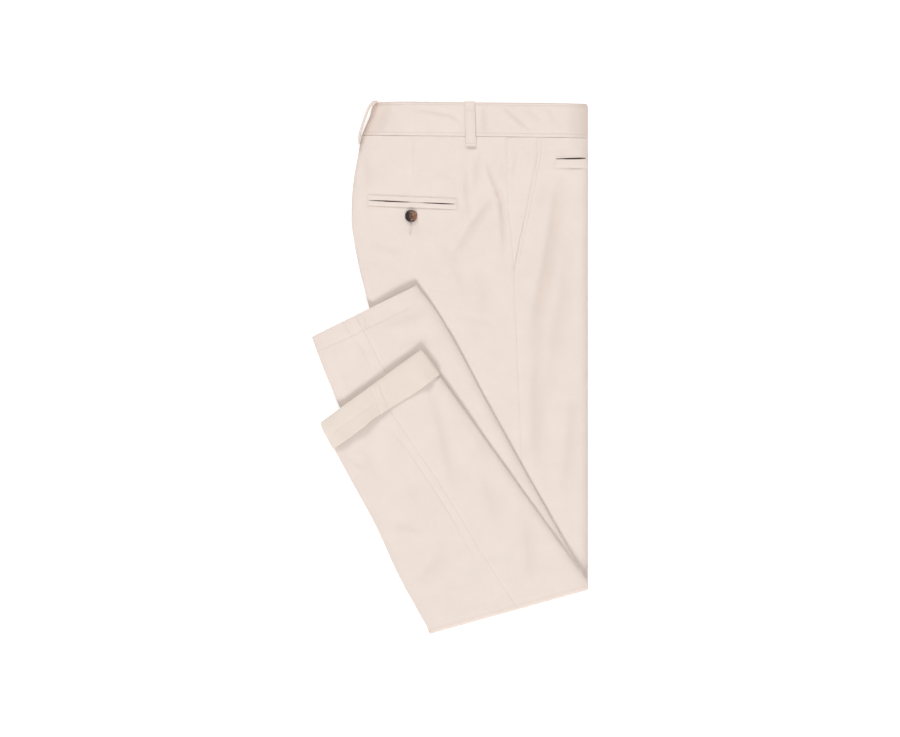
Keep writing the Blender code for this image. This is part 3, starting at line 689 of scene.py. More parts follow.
def resample(points, spacing):
    """Points every so often along a plan line of straight stretches."""
    path = np.array(points, float)
    lengths = np.hypot(*np.diff(path, axis=0).T)
    before = np.concatenate([[0.0], np.cumsum(lengths)])
    count = max(int(before[-1] / spacing), 1)
    reads = np.linspace(0, before[-1], count + 1)
    return np.stack([np.interp(reads, before, path[:, k]) for k in (0, 1)], 1)


STITCH_PITCH = 3.0
STITCH_LENGTH = 2.3
THREAD = 0.20  # radius of the sewing thread
# Along a stitch: share of its length, height off the cloth, share of the thread's radius.
STITCH_FORM = [(-0.5, -0.16, 0.5), (-0.3, 0.06, 1.0), (0.3, 0.06, 1.0), (0.5, -0.16, 0.5)]
# Along a thread of close stitching: share of its length, height off the cloth.
BAR_FORM = [(0.0, -0.1), (0.3, 0.16), (0.7, 0.16), (1.0, -0.1)]


def thread_mesh(name, strands, material, sides=6):
    """Closed tubes. A strand is its centres, its radii, and two directions square to its run."""
    points = []
    faces = []
    for centres, radii, across, up in strands:
        first = len(points)
        for centre, radius in zip(centres, radii):
            for k in range(sides):
                angle = 2 * math.pi * k / sides
                points.append(np.array(centre) + radius * (math.cos(angle) * across + math.sin(angle) * up))
        rings = len(centres)
        for ring in range(rings - 1):
            base = first + ring * sides
            for k in range(sides):
                j = (k + 1) % sides
                faces.append((base + k, base + j, base + sides + j, base + sides + k))
        faces.append(tuple(range(first, first + sides)))
        faces.append(tuple(range(first + (rings - 1) * sides, first + rings * sides)))
    return new_object(name, mesh_from(np.array(points), faces, name), material)


def plan_directions(start, end):
    """Unit heading of a plan line, and the two directions square to it, in space."""
    heading = (end - start) / math.dist(start, end)
    return heading, np.array([-heading[1], heading[0], 0.0]), np.array([0.0, 0.0, 1.0])


def stitch_rows(name, lines, tree, material, above=True):
    """Straight stitches along plan lines, each a short thread that dips into the cloth at its ends."""
    strands = []
    way = 1.0 if above else -1.0
    for line in lines:
        places = resample(line, STITCH_PITCH)
        for start, end in zip(places, places[1:]):
            middle = (start + end) / 2
            z = height_on(tree, middle[0], middle[1], above)
            if z is None:
                continue
            heading, across, up = plan_directions(start, end)
            centres = [(*(middle + heading * share * STITCH_LENGTH), z + way * lift)
                       for share, lift, _ in STITCH_FORM]
            strands.append((centres, [THREAD * thick for _, _, thick in STITCH_FORM], across, up))
    return thread_mesh(name, strands, material)


def bar_strand(tree, start, end, radius):
    """A short thread between two plan points, arched a little off the cloth."""
    start = np.array(start)
    end = np.array(end)
    _, across, up = plan_directions(start, end)
    middle = (start + end) / 2
    z = height_on(tree, middle[0], middle[1])
    centres = [(*(start + (end - start) * share), z + lift) for share, lift in BAR_FORM]
    return centres, [radius] * len(BAR_FORM), across, up


def strip_rings(centres, across, up, width, thickness, crown=0.0, lip=0.5, groove=0.0):
    """Rings of a flat strip with rounded edges, along a line of centres on its underside.

    groove is the depth of two sewn lines beside its edges.
    """
    widths = np.zeros(len(centres)) + width
    profile = []
    for inset in (0.0, 0.12 * lip, 0.4 * lip, lip):
        profile.append((inset, thickness * (0.45 + 0.55 * math.sqrt(1 - (1 - inset / lip) ** 2))))
    left = [(-1.0, inset, height) for inset, height in profile]
    middle = []
    for side in np.linspace(-0.84, 0.84, 25):
        sewn = groove * math.exp(-(((abs(side) - 0.66) / 0.07) ** 2))
        middle.append((side, 0.0, thickness + crown * (1 - side * side) - sewn))
    right = [(1.0, inset, height) for inset, height in reversed(profile)]
    under = [(side, 0.0, 0.0) for side in (1.0, 0.5, 0.0, -0.5, -1.0)]
    rings = []
    for side, inset, height in left + middle + right + under:
        reach = side * widths / 2 - math.copysign(inset, side)
        rings.append(np.asarray(centres) + np.asarray(across) * reach[:, None] + np.asarray(up) * height)
    return np.stack(rings, 1)


# ---------------------------------------------------------------- waistband
BAND_SECTIONS = [
    (0.0, -105.4, 277.2, 273.9), (0.24, -101.5, 287.0, 285.0), (0.6, -95.5, 301.0, 300.0),
    (0.86, -93.0, 312.0, 310.0), (1.0, -89.0, 317.6, 315.2),
]  # share of the height, back edge x and y, y at the front crease
BAND_ROWS = 18
BAND_STITCH_LOW = 4.2  # distance of the lower row of stitches from the seam
BAND_STITCH_HIGH = 3.6  # distance of the upper row from the top edge
BAND_SEAM_Y = 273.9  # where the seam and the top edge are at the front
BAND_TOP_Y = 315.2
BAND_HEIGHT = 42.0


class Band(Leg):
    """Waistband sections from the waist seam to the top edge."""

    def __init__(self, right):
        near = np.array([0.0, 0.3, 0.7, 1.2, 2.0, 2.8, 3.3, 3.8, 4.3, 4.8, 5.6]) / BAND_HEIGHT
        shares = np.concatenate([near, np.linspace(0.16, 0.84, BAND_ROWS), 1 - near[::-1]])
        read = [smooth_table([(row[0], row[k]) for row in BAND_SECTIONS], shares) for k in (1, 2, 3)]
        self.right = right
        self.outward = np.zeros(2)
        self.share = shares
        count = len(shares)
        corner = 1 - np.sqrt(1 - np.clip((shares - 0.84) / 0.16, 0, 1) ** 2)
        self.back = np.stack([read[0] + 5.5 * corner, read[1]], 1)
        self.front = np.stack([FRONT_X - 2.2 * corner, read[2]], 1)
        self.width = np.hypot(*(self.front - self.back).T)
        self.turn = np.zeros(count)
        self.rise = np.zeros(count)
        self.pinch = 0.0
        self.pinch_reach = END_REACH
        self.settles = False
        self.at_waist = np.ones(count)
        self.to_hem = np.full(count, 1e3)
        self.base = 0.0
        shift = (BAND_TUBE + LEG_GAP) / 2
        self.middle = MID_PLANE + (shift if right else -shift)


def band_line(band, half):
    """Distance across and height round a waistband section, from its hidden end at the back to the front."""
    centre = BAND_TUBE / 2
    sign = 1.0 if band.right else -1.0
    width = band.width[:, None]
    arc = np.linspace(math.pi, 0, ARC_COLUMNS + 1)
    tuck = np.linspace(TUCK, 0, 5)[:-1]
    flat = np.linspace(0, 1, 150)[1:-1]
    across = [centre + tuck + 0 * width, centre - half * np.sin(arc) + 0 * width,
              centre + (width - 2 * centre) * flat, width - centre + half * np.sin(arc[::-1]),
              width - centre - tuck[::-1]]
    height = [0 * width + 0 * tuck - half, half * np.cos(arc) + 0 * width, 0 * width + 0 * flat + half,
              half * np.cos(arc[::-1]) + 0 * width, 0 * width + 0 * tuck - half]
    return np.concatenate(across, 1), band.middle + sign * np.concatenate(height, 1)


def make_waistband(side, right, material):
    band = Band(right)
    surfaces = []
    for half in (BAND_TUBE / 2, BAND_TUBE / 2 - BAND):
        across, height = band_line(band, half)
        points = band.place(across, height)
        sign = 1.0 if right else -1.0
        outer = np.abs(height - (band.middle + sign * half)) < 1e-6
        x = points[..., 0]
        y = points[..., 1]
        from_seam = (band.share * BAND_HEIGHT)[:, None]
        from_top = BAND_HEIGHT - from_seam
        relief = 0.12 * ripple(x, y, 34.0, 11 if right else 12) + 0.06 * ripple(x, y, 11.0, 13)
        inset = np.minimum(across, band.width[:, None] - across)
        # Painted shade at the band's two ends, along its top edge and its seam, and down in its creases.
        painted_shade = edge_painted_shade(inset, BAND_END_PAINTED_SHADE, BAND_END_REACH)
        painted_shade = painted_shade + edge_painted_shade(from_top, BAND_TOP_PAINTED_SHADE, BAND_TOP_REACH)
        painted_shade = painted_shade + edge_painted_shade(from_seam, BAND_SEAM_PAINTED_SHADE, BAND_SEAM_REACH)
        if right:
            creases = crease_height(BAND_CREASES, x, y)
            relief = relief + creases
            painted_shade = painted_shade + crease_painted_shade(creases)
        pucker = 0.10 * np.sin(x * 0.62 + 1.4 * ripple(x, y * 0, 45.0, 15))
        for gap in (from_seam - BAND_STITCH_LOW, from_top - BAND_STITCH_HIGH):
            near = np.exp(-((gap / 0.9) ** 2))
            relief = relief - 0.17 * near + pucker * np.exp(-((gap / 3.0) ** 2))
        rounding = 0.45 * np.exp(-((from_seam / 0.5) ** 2)) + 0.75 * np.exp(-((from_top / 0.9) ** 2))
        points[..., 2] += np.where(outer, relief - sign * rounding, 0.0)
        if not right:
            points[..., 2] = np.maximum(points[..., 2], 2.45)
        surfaces.append(points)
    name = side + "_waistband_cloth"
    mesh = wall_mesh(surfaces[0], surfaces[1], name, painted_shade=painted_shade)
    return new_object(name, mesh, material, [side + "_waistband"])


# ---------------------------------------------------------------- pocket facings
def make_facing(side, right, material):
    """The side piece between the outseam and the pocket mouth, which dips under the mouth's edge."""
    y = np.linspace(274.5, 114.8, 80)
    low = smooth_table(SIDE_SEAM, y) + SEWN_GAP / 2
    high = smooth_table(POCKET_MOUTH, y)
    span = np.maximum(high - low, 0.8)
    shares = np.concatenate([np.array([0.0, 0.3, 0.8, 1.6, 2.6]) / 40, np.linspace(0.1, 1.0, 30)])
    under = 5.0 * ease(span / 14.0)
    x = low[:, None] + (span + under)[:, None] * shares
    rows_y = y[:, None] + 0 * x
    past = x - high[:, None]
    sink = 0.25 * ease((past + 12.0) / 10.0) + (CLOTH + 0.2) * ease((past + 1.6) / 1.8)
    sign = 1.0 if right else -1.0
    middle = MID_PLANE + sign * (TUBE + LEG_GAP) / 2
    lift = smooth_table(LIFT, rows_y)
    relief = np.zeros_like(x)
    if right:
        relief = crease_height(BODY_CREASES, x, rows_y) + 0.24 * ripple(x, rows_y, 70.0, 3)
        relief = relief + 0.09 * ripple(x, rows_y, 24.0, 4)
    dip = seam_dip(x - low[:, None])
    surfaces = []
    for half in (TUBE / 2, TUBE / 2 - CLOTH):
        z = middle + sign * (half - sink - dip) + lift + relief
        surfaces.append(np.stack([x, rows_y, z], -1))
    name = side + "_facing_cloth"
    mesh = wall_mesh(surfaces[0], surfaces[1], name)
    return new_object(name, mesh, material, [side + "_pocket_facing"])


# ---------------------------------------------------------------- belt loops
# Side loop: y, x of its middle, how far its underside stands off the waistband's face.
SIDE_LOOP = [
    (264.0, 25.8, 0.1), (266.0, 25.75, 0.15), (268.5, 25.7, 0.3), (273.0, 25.6, 0.8), (280.0, 25.2, 1.25),
    (291.0, 24.9, 1.35), (303.0, 24.5, 1.0), (309.0, 24.3, 0.4), (313.0, 24.2, 0.3), (317.6, 24.0, 0.25),
]


def make_side_loop(side, right, material):
    sign = 1.0 if right else -1.0
    y = np.linspace(SIDE_LOOP[0][0], SIDE_LOOP[-1][0], 44)
    x = smooth_table([(row[0], row[1]) for row in SIDE_LOOP], y)
    off = smooth_table([(row[0], row[2]) for row in SIDE_LOOP], y)
    face = MID_PLANE + smooth_table(LIFT, y) + sign * (LEG_GAP / 2 + BAND_TUBE + off)
    centres = np.stack([x, y, face], 1)
    across = np.tile([1.0, 0.0, 0.0], (len(y), 1))
    up = np.tile([0.0, 0.0, sign], (len(y), 1))
    swell = 1.0 + 0.03 * np.sin(y * 0.4)
    rings = strip_rings(centres, across, up, LOOP_WIDTH * swell, 1.25, crown=0.25, lip=0.6, groove=0.22)
    return ring_piece(side + "_side_loop_cloth", rings, material, [side + "_side_belt_loop"])


BACK_LOOP = [
    (-86.6, 318.2), (-91.2, 316.6), (-95.0, 313.2), (-97.6, 309.0), (-99.9, 303.0), (-102.4, 296.0),
    (-105.0, 288.0), (-107.6, 279.0), (-108.9, 272.0), (-108.6, 266.5),
]
BACK_LOOP_WALL = 2.2
BACK_LOOP_STITCH = 4.1  # height of its two rows of stitches above and below its middle
BACK_LOOP_TACKS = (0.10, 0.93)  # shares of its length where a tack crosses it


def back_loop_line(count):
    """Places along the middle of the back loop, and the way that its outer face looks."""
    path = np.array(BACK_LOOP)
    length = np.concatenate([[0.0], np.cumsum(np.hypot(*np.diff(path, axis=0).T))])
    reads = np.linspace(0, length[-1], count)
    x = smooth_table(list(zip(length, path[:, 0])), reads)
    y = smooth_table(list(zip(length, path[:, 1])), reads)
    heading = np.gradient(np.stack([x, y], 1), axis=0)
    heading = heading / np.hypot(*heading.T)[:, None]
    outward = np.stack([heading[:, 1], -heading[:, 0], np.zeros(count)], 1)
    return np.stack([x, y, np.full_like(x, MID_PLANE + LIFT[-1][1])], 1), outward


def make_back_loop(material):
    line, outward = back_loop_line(40)
    across = np.tile([0.0, 0.0, 1.0], (len(line), 1))
    widths = LOOP_WIDTH * (0.55 + 0.45 * np.clip(np.linspace(0, 8, len(line)), 0, 1))
    inner = line - outward * BACK_LOOP_WALL / 2
    rings = strip_rings(inner, across, outward, widths, BACK_LOOP_WALL, crown=0.3, groove=0.2)
    return ring_piece("back_loop_cloth", rings, material, ["back_belt_loop"])


def make_back_loop_stitches(material):
    """Two rows along the back loop and a tack across each end, on the face that looks outwards."""
    line, outward = back_loop_line(21)
    up = np.array([0.0, 0.0, 1.0])
    face = BACK_LOOP_WALL / 2 + 0.06
    strands = []
    for height in (-BACK_LOOP_STITCH, BACK_LOOP_STITCH):
        for i in range(1, len(line) - 1):
            run = (line[i + 1] - line[i - 1]) * 0.36
            middle = line[i] + outward[i] * face + up * height
            centres = [middle + run * share + outward[i] * lift for share, lift, _ in STITCH_FORM]
            strands.append((centres, [THREAD * thick for _, _, thick in STITCH_FORM], outward[i], up))
    for share in BACK_LOOP_TACKS:
        i = int(share * (len(line) - 1))
        middle = line[i] + outward[i] * (face + 0.18)
        heading = (line[i + 1] - line[i]) / math.dist(line[i + 1], line[i])
        for step in range(-9, 9):
            low = middle + up * (step * 0.5) - heading * 0.9
            centres = [low, middle + up * (step * 0.5 + 0.4) + heading * 0.9]
            strands.append((centres, [THREAD, THREAD], outward[i], up))
    return thread_mesh("back_loop_stitches", strands, material)


# ---------------------------------------------------------------- back pocket, coin pocket, button
BACK_SLIT = ((-97.0, 199.0), (7.0, 194.5))
JET_HEIGHT = 6.4
SLIT_OPENINGS = [(0.0, 0.48, 0.62), (0.62, 1.0, 0.48)]  # start, end, half-width of each open stretch


def slit_half_width(share):
    width = np.full_like(share, 0.06)
    for start, end, most in SLIT_OPENINGS:
        inside = np.clip((share - start) / (end - start), 0, 1)
        width = width + most * np.sin(np.pi * inside) ** 0.6
    return width


def make_jet(name, node, side, tree, material):
    """One welt of the back pocket, whose edge along the slit bows away from it."""
    shares = np.linspace(0.0, 1.0, 70)
    line = np.array(BACK_SLIT[0]) + np.outer(shares, np.subtract(BACK_SLIT[1], BACK_SLIT[0]))
    gap = slit_half_width(shares)
    centres = []
    for (x, y), opening in zip(line, gap):
        middle = y + side * (opening + JET_HEIGHT) / 2
        centres.append((x, middle, height_on(tree, x, middle) - 0.12))
    across = np.tile([0.0, 1.0, 0.0], (len(shares), 1))
    up = np.tile([0.0, 0.0, 1.0], (len(shares), 1))
    rings = strip_rings(centres, across, up, JET_HEIGHT - gap, 0.42, crown=0.22, lip=0.9)
    return ring_piece(name, rings, material, [node])


def make_mouth_shade(name, start, end, half_width, tree, material):
    """A dark sheet in a pocket's slit that paints the shade inside the pocket."""
    shares = np.linspace(0.0, 1.0, 50)
    rings = []
    for share, reach in zip(shares, half_width(shares)):
        x = start[0] + (end[0] - start[0]) * share
        y = start[1] + (end[1] - start[1]) * share
        z = height_on(tree, x, y)
        reach = reach + 0.35
        rings.append([(x, y - reach, z - 0.1), (x, y - reach, z + 0.05), (x, y, z + 0.12),
                      (x, y + reach, z + 0.05), (x, y + reach, z - 0.1)])
    return ring_piece(name, rings, material)


COIN_LEFT = 127.0
COIN_SLIT_Y = 248.0
COIN_MOUTH = ((128.0, 248.6), (163.5, 249.4))
COIN_WELT_HEIGHT = 10.0


def make_coin_welt(material):
    """The coin pocket's welt, which lies on the front panel and turns with it round the crease."""
    tube = TUBE / 2
    flat = np.linspace(COIN_LEFT, FRONT_X - tube - 0.5, 26)
    arc = np.linspace(0.0, math.pi * 0.5, 8)
    middle = MID_PLANE + (TUBE + LEG_GAP) / 2
    rings = []
    for x, angle in [(x, 0.0) for x in flat] + [(FRONT_X - tube, a) for a in arc]:
        inset = max(FRONT_X - x - tube * math.sin(angle), 0.0)
        press = 1 - float(press_at(inset))
        ring = []
        for share, stand_off in COIN_PROFILE:
            y = COIN_SLIT_Y - COIN_WELT_HEIGHT * share
            half = tube + stand_off * (1 - 0.6 * math.sin(angle))
            z = (middle + half * math.cos(angle)) * press + float(smooth_table(LIFT, y))
            ring.append((x + half * math.sin(angle), y, z))
        rings.append(ring)
    return ring_piece("coin_welt_cloth", rings, material, ["coin_pocket_welt"])


# Round the welt's section: share of its height below the slit, height off the cloth.
COIN_PROFILE = [
    (0.0, -0.1), (0.0, 0.3), (0.03, 0.55), (0.12, 0.66), (0.5, 0.68), (0.88, 0.55), (0.97, 0.3), (1.0, 0.0),
    (1.0, -0.1),
]

BUTTON_CENTRE = (-46.0, 180.0)
BUTTON_RADIUS = 7.5
BUTTON_PROFILE = [
    (0.01, 1.25), (1.2, 1.20), (2.6, 1.22), (3.7, 1.35), (4.4, 1.72), (5.0, 2.08), (5.6, 2.32),
    (6.2, 2.42), (6.7, 2.34), (7.1, 2.12), (7.38, 1.8), (7.5, 1.35), (7.42, 0.9), (7.1, 0.5),
    (6.4, 0.2), (5.2, 0.0), (0.01, 0.0),
]
BUTTON_HOLE_RING = 1.75  # from the button's middle to each of its four holes
BUTTON_HOLE_RADIUS = 0.8


def make_button(tree, material):
    x, y = BUTTON_CENTRE
    base = height_on(tree, x, y) + 0.1
    around = np.linspace(0, 2 * math.pi, 73)[:-1]
    cosine = np.cos(around)
    sine = np.sin(around)
    rings = [np.stack([x + radius * cosine, y + radius * sine, np.full(72, base + height)], 1)
             for radius, height in BUTTON_PROFILE]
    button = ring_piece("pocket_button", rings, material, ["back_pocket_button"])
    cutters = []
    turn = np.linspace(0, 2 * math.pi, 25)[:-1]
    for step in range(4):
        angle = math.pi / 4 + math.pi / 2 * step
        hole_x = x + BUTTON_HOLE_RING * math.cos(angle)
        hole_y = y + BUTTON_HOLE_RING * math.sin(angle)
        plan_x = hole_x + BUTTON_HOLE_RADIUS * np.cos(turn)
        plan_y = hole_y + BUTTON_HOLE_RADIUS * np.sin(turn)
        rings = [np.stack([plan_x, plan_y, np.full(24, z)], 1) for z in (base - 1, base + 4)]
        cutters.append(ring_wall_mesh(np.array(rings), "hole", True))
    drill(button, cutters)
    return base


def drill(piece, cutters):
    """Cuts meshes out of a piece and leaves the result in its mesh."""
    for mesh in cutters:
        cutter = bpy.data.objects.new("cutter", mesh)
        bpy.context.collection.objects.link(cutter)
        cut = piece.modifiers.new("cut", "BOOLEAN")
        cut.operation = "DIFFERENCE"
        cut.object = cutter
        evaluated = piece.evaluated_get(bpy.context.evaluated_depsgraph_get())
        result = bpy.data.meshes.new_from_object(evaluated)
        piece.modifiers.clear()
        bpy.data.objects.remove(cutter)
        piece.data = result
    piece.data.shade_smooth()
    piece.data.set_sharp_from_angle(angle=math.radians(40))


def make_button_thread(base, material):
    """Two crossed pairs of strands through the button's holes."""
    middle = np.array(BUTTON_CENTRE)
    strands = []
    stations = np.linspace(-1, 1, 9)
    for diagonal in (math.pi / 4, 3 * math.pi / 4):
        heading = np.array([math.cos(diagonal), math.sin(diagonal)])
        across = np.array([-heading[1], heading[0], 0.0])
        for shift in (-0.24, 0.24):
            centres = []
            for t in stations:
                plan = middle + heading * t * 1.9 + across[:2] * shift
                centres.append((*plan, base + 1.25 + 0.4 * (1 - t * t) - 3.6 * max(abs(t) - 0.75, 0)))
            strands.append((centres, [0.22] * len(stations), across, np.array([0.0, 0.0, 1.0])))
    return thread_mesh("button_thread", strands, material)


HOLE_TOP = (-46.0, 176.0)
HOLE_FOOT = (-47.0, 159.5)
HOLE_REACH = 1.7  # how far the close stitches reach to each side of the buttonhole


def make_buttonhole(tree, thread, dark):
    """Close stitches down both sides of the buttonhole, and across its foot."""
    path = [(HOLE_TOP[0] + (HOLE_FOOT[0] - HOLE_TOP[0]) * t, HOLE_TOP[1] + (HOLE_FOOT[1] - HOLE_TOP[1]) * t)
            for t in np.linspace(0, 1, 31)]
    strands = []
    for x, y in path:
        for side in (-1, 1):
            strands.append(bar_strand(tree, (x + side * 0.1, y), (x + side * HOLE_REACH, y + 0.05), 0.26))
    foot_x, foot_y = HOLE_FOOT
    for step in range(5):
        height = foot_y - 0.5 * step
        strands.append(bar_strand(tree, (foot_x - HOLE_REACH, height), (foot_x + HOLE_REACH, height), 0.26))
    thread_mesh("buttonhole_stitches", strands, thread, sides=5)
    # a dark strip down the buttonhole's upper part paints the shade in its slit
    rings = []
    for x, y in path[:13:3]:
        z = height_on(tree, x, y)
        rings.append([(x - 0.1, y, z - 0.1), (x - 0.1, y, z + 0.02),
                      (x + 0.1, y, z + 0.02), (x + 0.1, y, z - 0.1)])
    ring_piece("buttonhole_slit_painted_shade", rings, dark)


# ---------------------------------------------------------------- turned-up hem
# Round the turned-up hem's section: share of its height from the folded end, distance out from the leg.
CUFF_PROFILE = [
    (1.0, 0.3), (1.006, 0.55), (1.005, 0.95), (0.995, 1.2), (0.975, 1.35), (0.93, 1.4), (0.86, 1.4),
    (0.76, 1.4), (0.66, 1.4), (0.58, 1.42), (0.55, 1.45), (0.52, 1.45), (0.49, 1.45), (0.42, 1.5),
    (0.35, 1.5), (0.28, 1.4), (0.21, 1.2), (0.15, 0.9), (0.10, 0.55), (0.06, 0.15), (0.03, -0.25),
    (0.01, -0.7), (0.0, -1.15), (0.006, -1.5), (0.02, -1.6), (0.045, -1.35), (0.10, -0.85),
    (0.18, -0.25), (0.28, 0.2), (0.5, 0.3), (0.75, 0.3),
]


def edge_point(inner_row, end_row, past_end):
    length = math.dist(inner_row, end_row)
    share = (length + past_end) / length
    return tuple(inner_row[i] + (end_row[i] - inner_row[i]) * share for i in (0, 1))


def cuff_ends(height_share):
    """Plan points of the turned-up hem's back and front creases at a share of its height."""
    along = HEM_TURN_UP * height_share
    back = edge_point(LEFT_SHIN[-2][1], LEFT_SHIN[-1][1], CUFF_LIP + BACK_LIP - along * (1 - HEM_SPREAD))
    front = edge_point(LEFT_SHIN[-2][2], LEFT_SHIN[-1][2], CUFF_LIP - along * (1 + HEM_SPREAD))
    return back, front


def cuff_plan(share, height_share):
    """Plan point at shares of the turned-up hem's width, from its back crease, and of its height."""
    back, front = cuff_ends(height_share)
    bend = cuff_bend(share) * height_share**3
    x = back[0] + (front[0] - back[0]) * share + bend * 0.55
    return x, back[1] + (front[1] - back[1]) * share - bend * 0.83


def make_cuff(material):
    middle = 2 * FOLD_AXIS_Z - (MID_PLANE - (TUBE + LEG_GAP) / 2) + CUFF_RISE
    tube = TUBE / 2
    flat = np.linspace(0, 1, 151)[:-1]
    arc = np.linspace(0, math.pi, ARC_COLUMNS + 1)[:-1]
    rings = []
    for height_share, out in CUFF_PROFILE:
        width = math.dist(*cuff_ends(height_share))
        half = tube + out
        across = []
        height = []
        for start, end, face in ((tube, width - tube, 1.0), (width - tube, tube, -1.0)):
            across += list(start + (end - start) * flat)
            height += [face * half] * len(flat)
            across += list(end + face * half * np.sin(arc))
            height += list(face * half * np.cos(arc))
        across = np.array(across)
        height = np.array(height)
        press = 1 - 0.6 * press_at(np.minimum(across, width - across))
        share = across / width
        x, y = cuff_plan(share, height_share)
        z = middle + height * press - droop(x, y) + cuff_wave(share, height_share) * (height > 0)
        rings.append(np.stack([x, y, z], 1))
    return ring_piece("left_cuff_cloth", rings, material, ["left_cuff"], False)


CUFF_SEAM = (0.495, -0.04)  # share of the width where the leg's seam crosses, and its change with height
CUFF_ALLOWANCE = 0.062  # width of the seam's allowance, as a share of the hem's width
CUFF_STITCH = 0.56  # height of the hem's own stitches, as a share


def cuff_bend(share):
    """How far the free edge wanders from a straight line, along the leg."""
    return 0.9 * np.sin(share * 9.0 + 0.6) - 1.2 * np.exp(-(((share - 0.38) / 0.05) ** 2))


def cuff_wave(share, height_share):
    """How far the turned-up hem stands off the leg: most at its free edge, unevenly, and along its seam."""
    free = np.clip(height_share, 0, 1) ** 2
    swell = 4.6 * np.exp(-(((share - 0.33) / 0.12) ** 2)) + 3.0 * np.exp(-(((share - 0.90) / 0.06) ** 2))
    swell = swell + 3.0 * np.exp(-(((share - 0.11) / 0.08) ** 2)) + 0.7
    past = share - CUFF_SEAM[0] - CUFF_SEAM[1] * height_share
    seam = -0.55 * np.exp(-((past / 0.008) ** 2))
    allowance = 0.55 * ease((past - 0.004) / 0.014) * (1 - ease((past - CUFF_ALLOWANCE) / 0.012))
    groove = 0.40 * np.exp(-(((height_share - CUFF_STITCH) / 0.035) ** 2)) * ease((0.47 - share) / 0.04)
    visible = np.clip(height_share * 6, 0, 1)
    rough = 0.20 * np.sin(share * 21.0 + height_share * 4.0) * (0.3 + height_share)
    return free * swell + (seam + allowance) * visible - groove + rough


def make_cuff_stitches(tree, material):
    """The hem's stitches and the two rows that hold its seam, on the cloth's reverse."""
    rows = [[cuff_plan(share, CUFF_STITCH) for share in np.linspace(0.05, 0.46, 14)]]
    for past in (0.0, CUFF_ALLOWANCE):
        heights = np.linspace(0.06, 0.94, 9)
        rows.append([cuff_plan(CUFF_SEAM[0] + CUFF_SEAM[1] * height + past, height) for height in heights])
    return stitch_rows("cuff_stitches", rows, tree, material)


# ---------------------------------------------------------------- hidden layers
INNER_END = 311.0  # height of the layers' folded edges in the waist's opening
INNER_FOOT = -189.0
INNER_HALF = 2.3
# Each layer from the top: how far its folded edge stands back from the furthest one.
LAYER_EDGES = [1.6, 0.0, 2.6, 0.7, 3.2]
LAYER_GROOVE = 2.2


def inner_section():
    """Section of the hidden layers along the leg: y and z round it, with a rounded edge for each layer."""
    radius = INNER_HALF / len(LAYER_EDGES)
    top = [(y, INNER_HALF) for y in np.linspace(INNER_FOOT + 4, INNER_END - 8, 66)]
    edges = []
    for i, back in enumerate(LAYER_EDGES):
        middle = INNER_HALF - radius * (2 * i + 1)
        end = INNER_END - back - radius
        for angle in np.linspace(math.pi / 2 - 0.1, 0.1 - math.pi / 2, 7):
            edges.append((end + radius * math.cos(angle), middle + radius * math.sin(angle)))
        if i < len(LAYER_EDGES) - 1:
            deep = max(back, LAYER_EDGES[i + 1]) + LAYER_GROOVE
            edges.append((INNER_END - deep, middle - radius))
    under = [(y, -z) for y, z in reversed(top)]
    foot = [(INNER_FOOT + 4 - 4 * math.cos(a), INNER_HALF * math.sin(a)) for a in np.linspace(-1.2, 1.2, 5)]
    return top + edges + under + foot


def make_inner_layers(material):
    """The inner faces, fly and pocket bags, pressed together, with the layers' folded edges at the waist."""
    clear = TUCK + TUBE / 2 + 1.5
    section = np.array(inner_section())
    y = section[:, 0]
    low = smooth_table(BACK_EDGE, np.minimum(y, 277.0)) + clear + 18.0 * ease((y - 265.0) / 12.0)
    high = FRONT_X - clear
    thinner = 0.4 + 0.6 * ease((y - INNER_END + 40) / 30)  # pressed flat away from the waist
    rings = []
    for share in np.linspace(0, 1, 60):
        taper = (1 - abs(2 * share - 1) ** 24) ** 0.5 * 0.8 + 0.2
        sway = 0.7 * np.sin(share * 11.0 + section[:, 1] * 1.3) * (y > INNER_END - 8)
        z = MID_PLANE + smooth_table(LIFT, y) + section[:, 1] * taper * thinner
        rings.append(np.stack([low + (high - low) * share, y - sway - 0.5, z], 1))
    return ring_piece("inner_layers_cloth", rings, material, ["folded_inner_layers"])


# ---------------------------------------------------------------- camera, light, floor
CAMERA_DISTANCE = 3.0
PICTURE_WIDTH = 1.08  # metres across the picture, at the trousers
CAMERA_AIM = (-0.00015, -0.0012)


def make_camera():
    data = bpy.data.cameras.new("camera")
    data.sensor_width = 36.0
    data.lens = 36.0 * CAMERA_DISTANCE / PICTURE_WIDTH
    data.clip_end = 20.0
    camera = bpy.data.objects.new("camera", data)
    camera.location = (CAMERA_AIM[0], CAMERA_AIM[1], CAMERA_DISTANCE + 0.012)
    bpy.context.collection.objects.link(camera)
    bpy.context.scene.camera = camera


def make_floor():
    mesh = bpy.data.meshes.new("floor")
    corners = [(-6.0, -6.0, 0), (6.0, -6.0, 0), (6.0, 6.0, 0), (-6.0, 6.0, 0)]
    mesh.from_pydata(corners, [], [(0, 1, 2, 3)])
    material, _, shader = new_material("floor")
    shader.inputs["Base Color"].default_value = (0.62, 0.62, 0.62, 1)
    shader.inputs["Emission Color"].default_value = (1, 1, 1, 1)
    shader.inputs["Emission Strength"].default_value = FLOOR_GLOW
    shader.inputs["Roughness"].default_value = 1.0
    shader.inputs["Specular IOR Level"].default_value = 0.0
    mesh.materials.append(material)
    floor = bpy.data.objects.new("floor", mesh)
    floor.location.z = -0.0003
    bpy.context.collection.objects.link(floor)


# Lights: the way that the light travels, strength, degrees across.
SUNS = [("key", (0.04, 1.0, -0.56), 2.15, 18.0), ("fill", (0.15, -1.0, -0.50), 1.52, 18.0)]
SKY_STRENGTH = 0.665
SKY_EDGE = 0.12  # how bright the sky is at the horizon, as a share of overhead
FLOOR_GLOW = 0.58


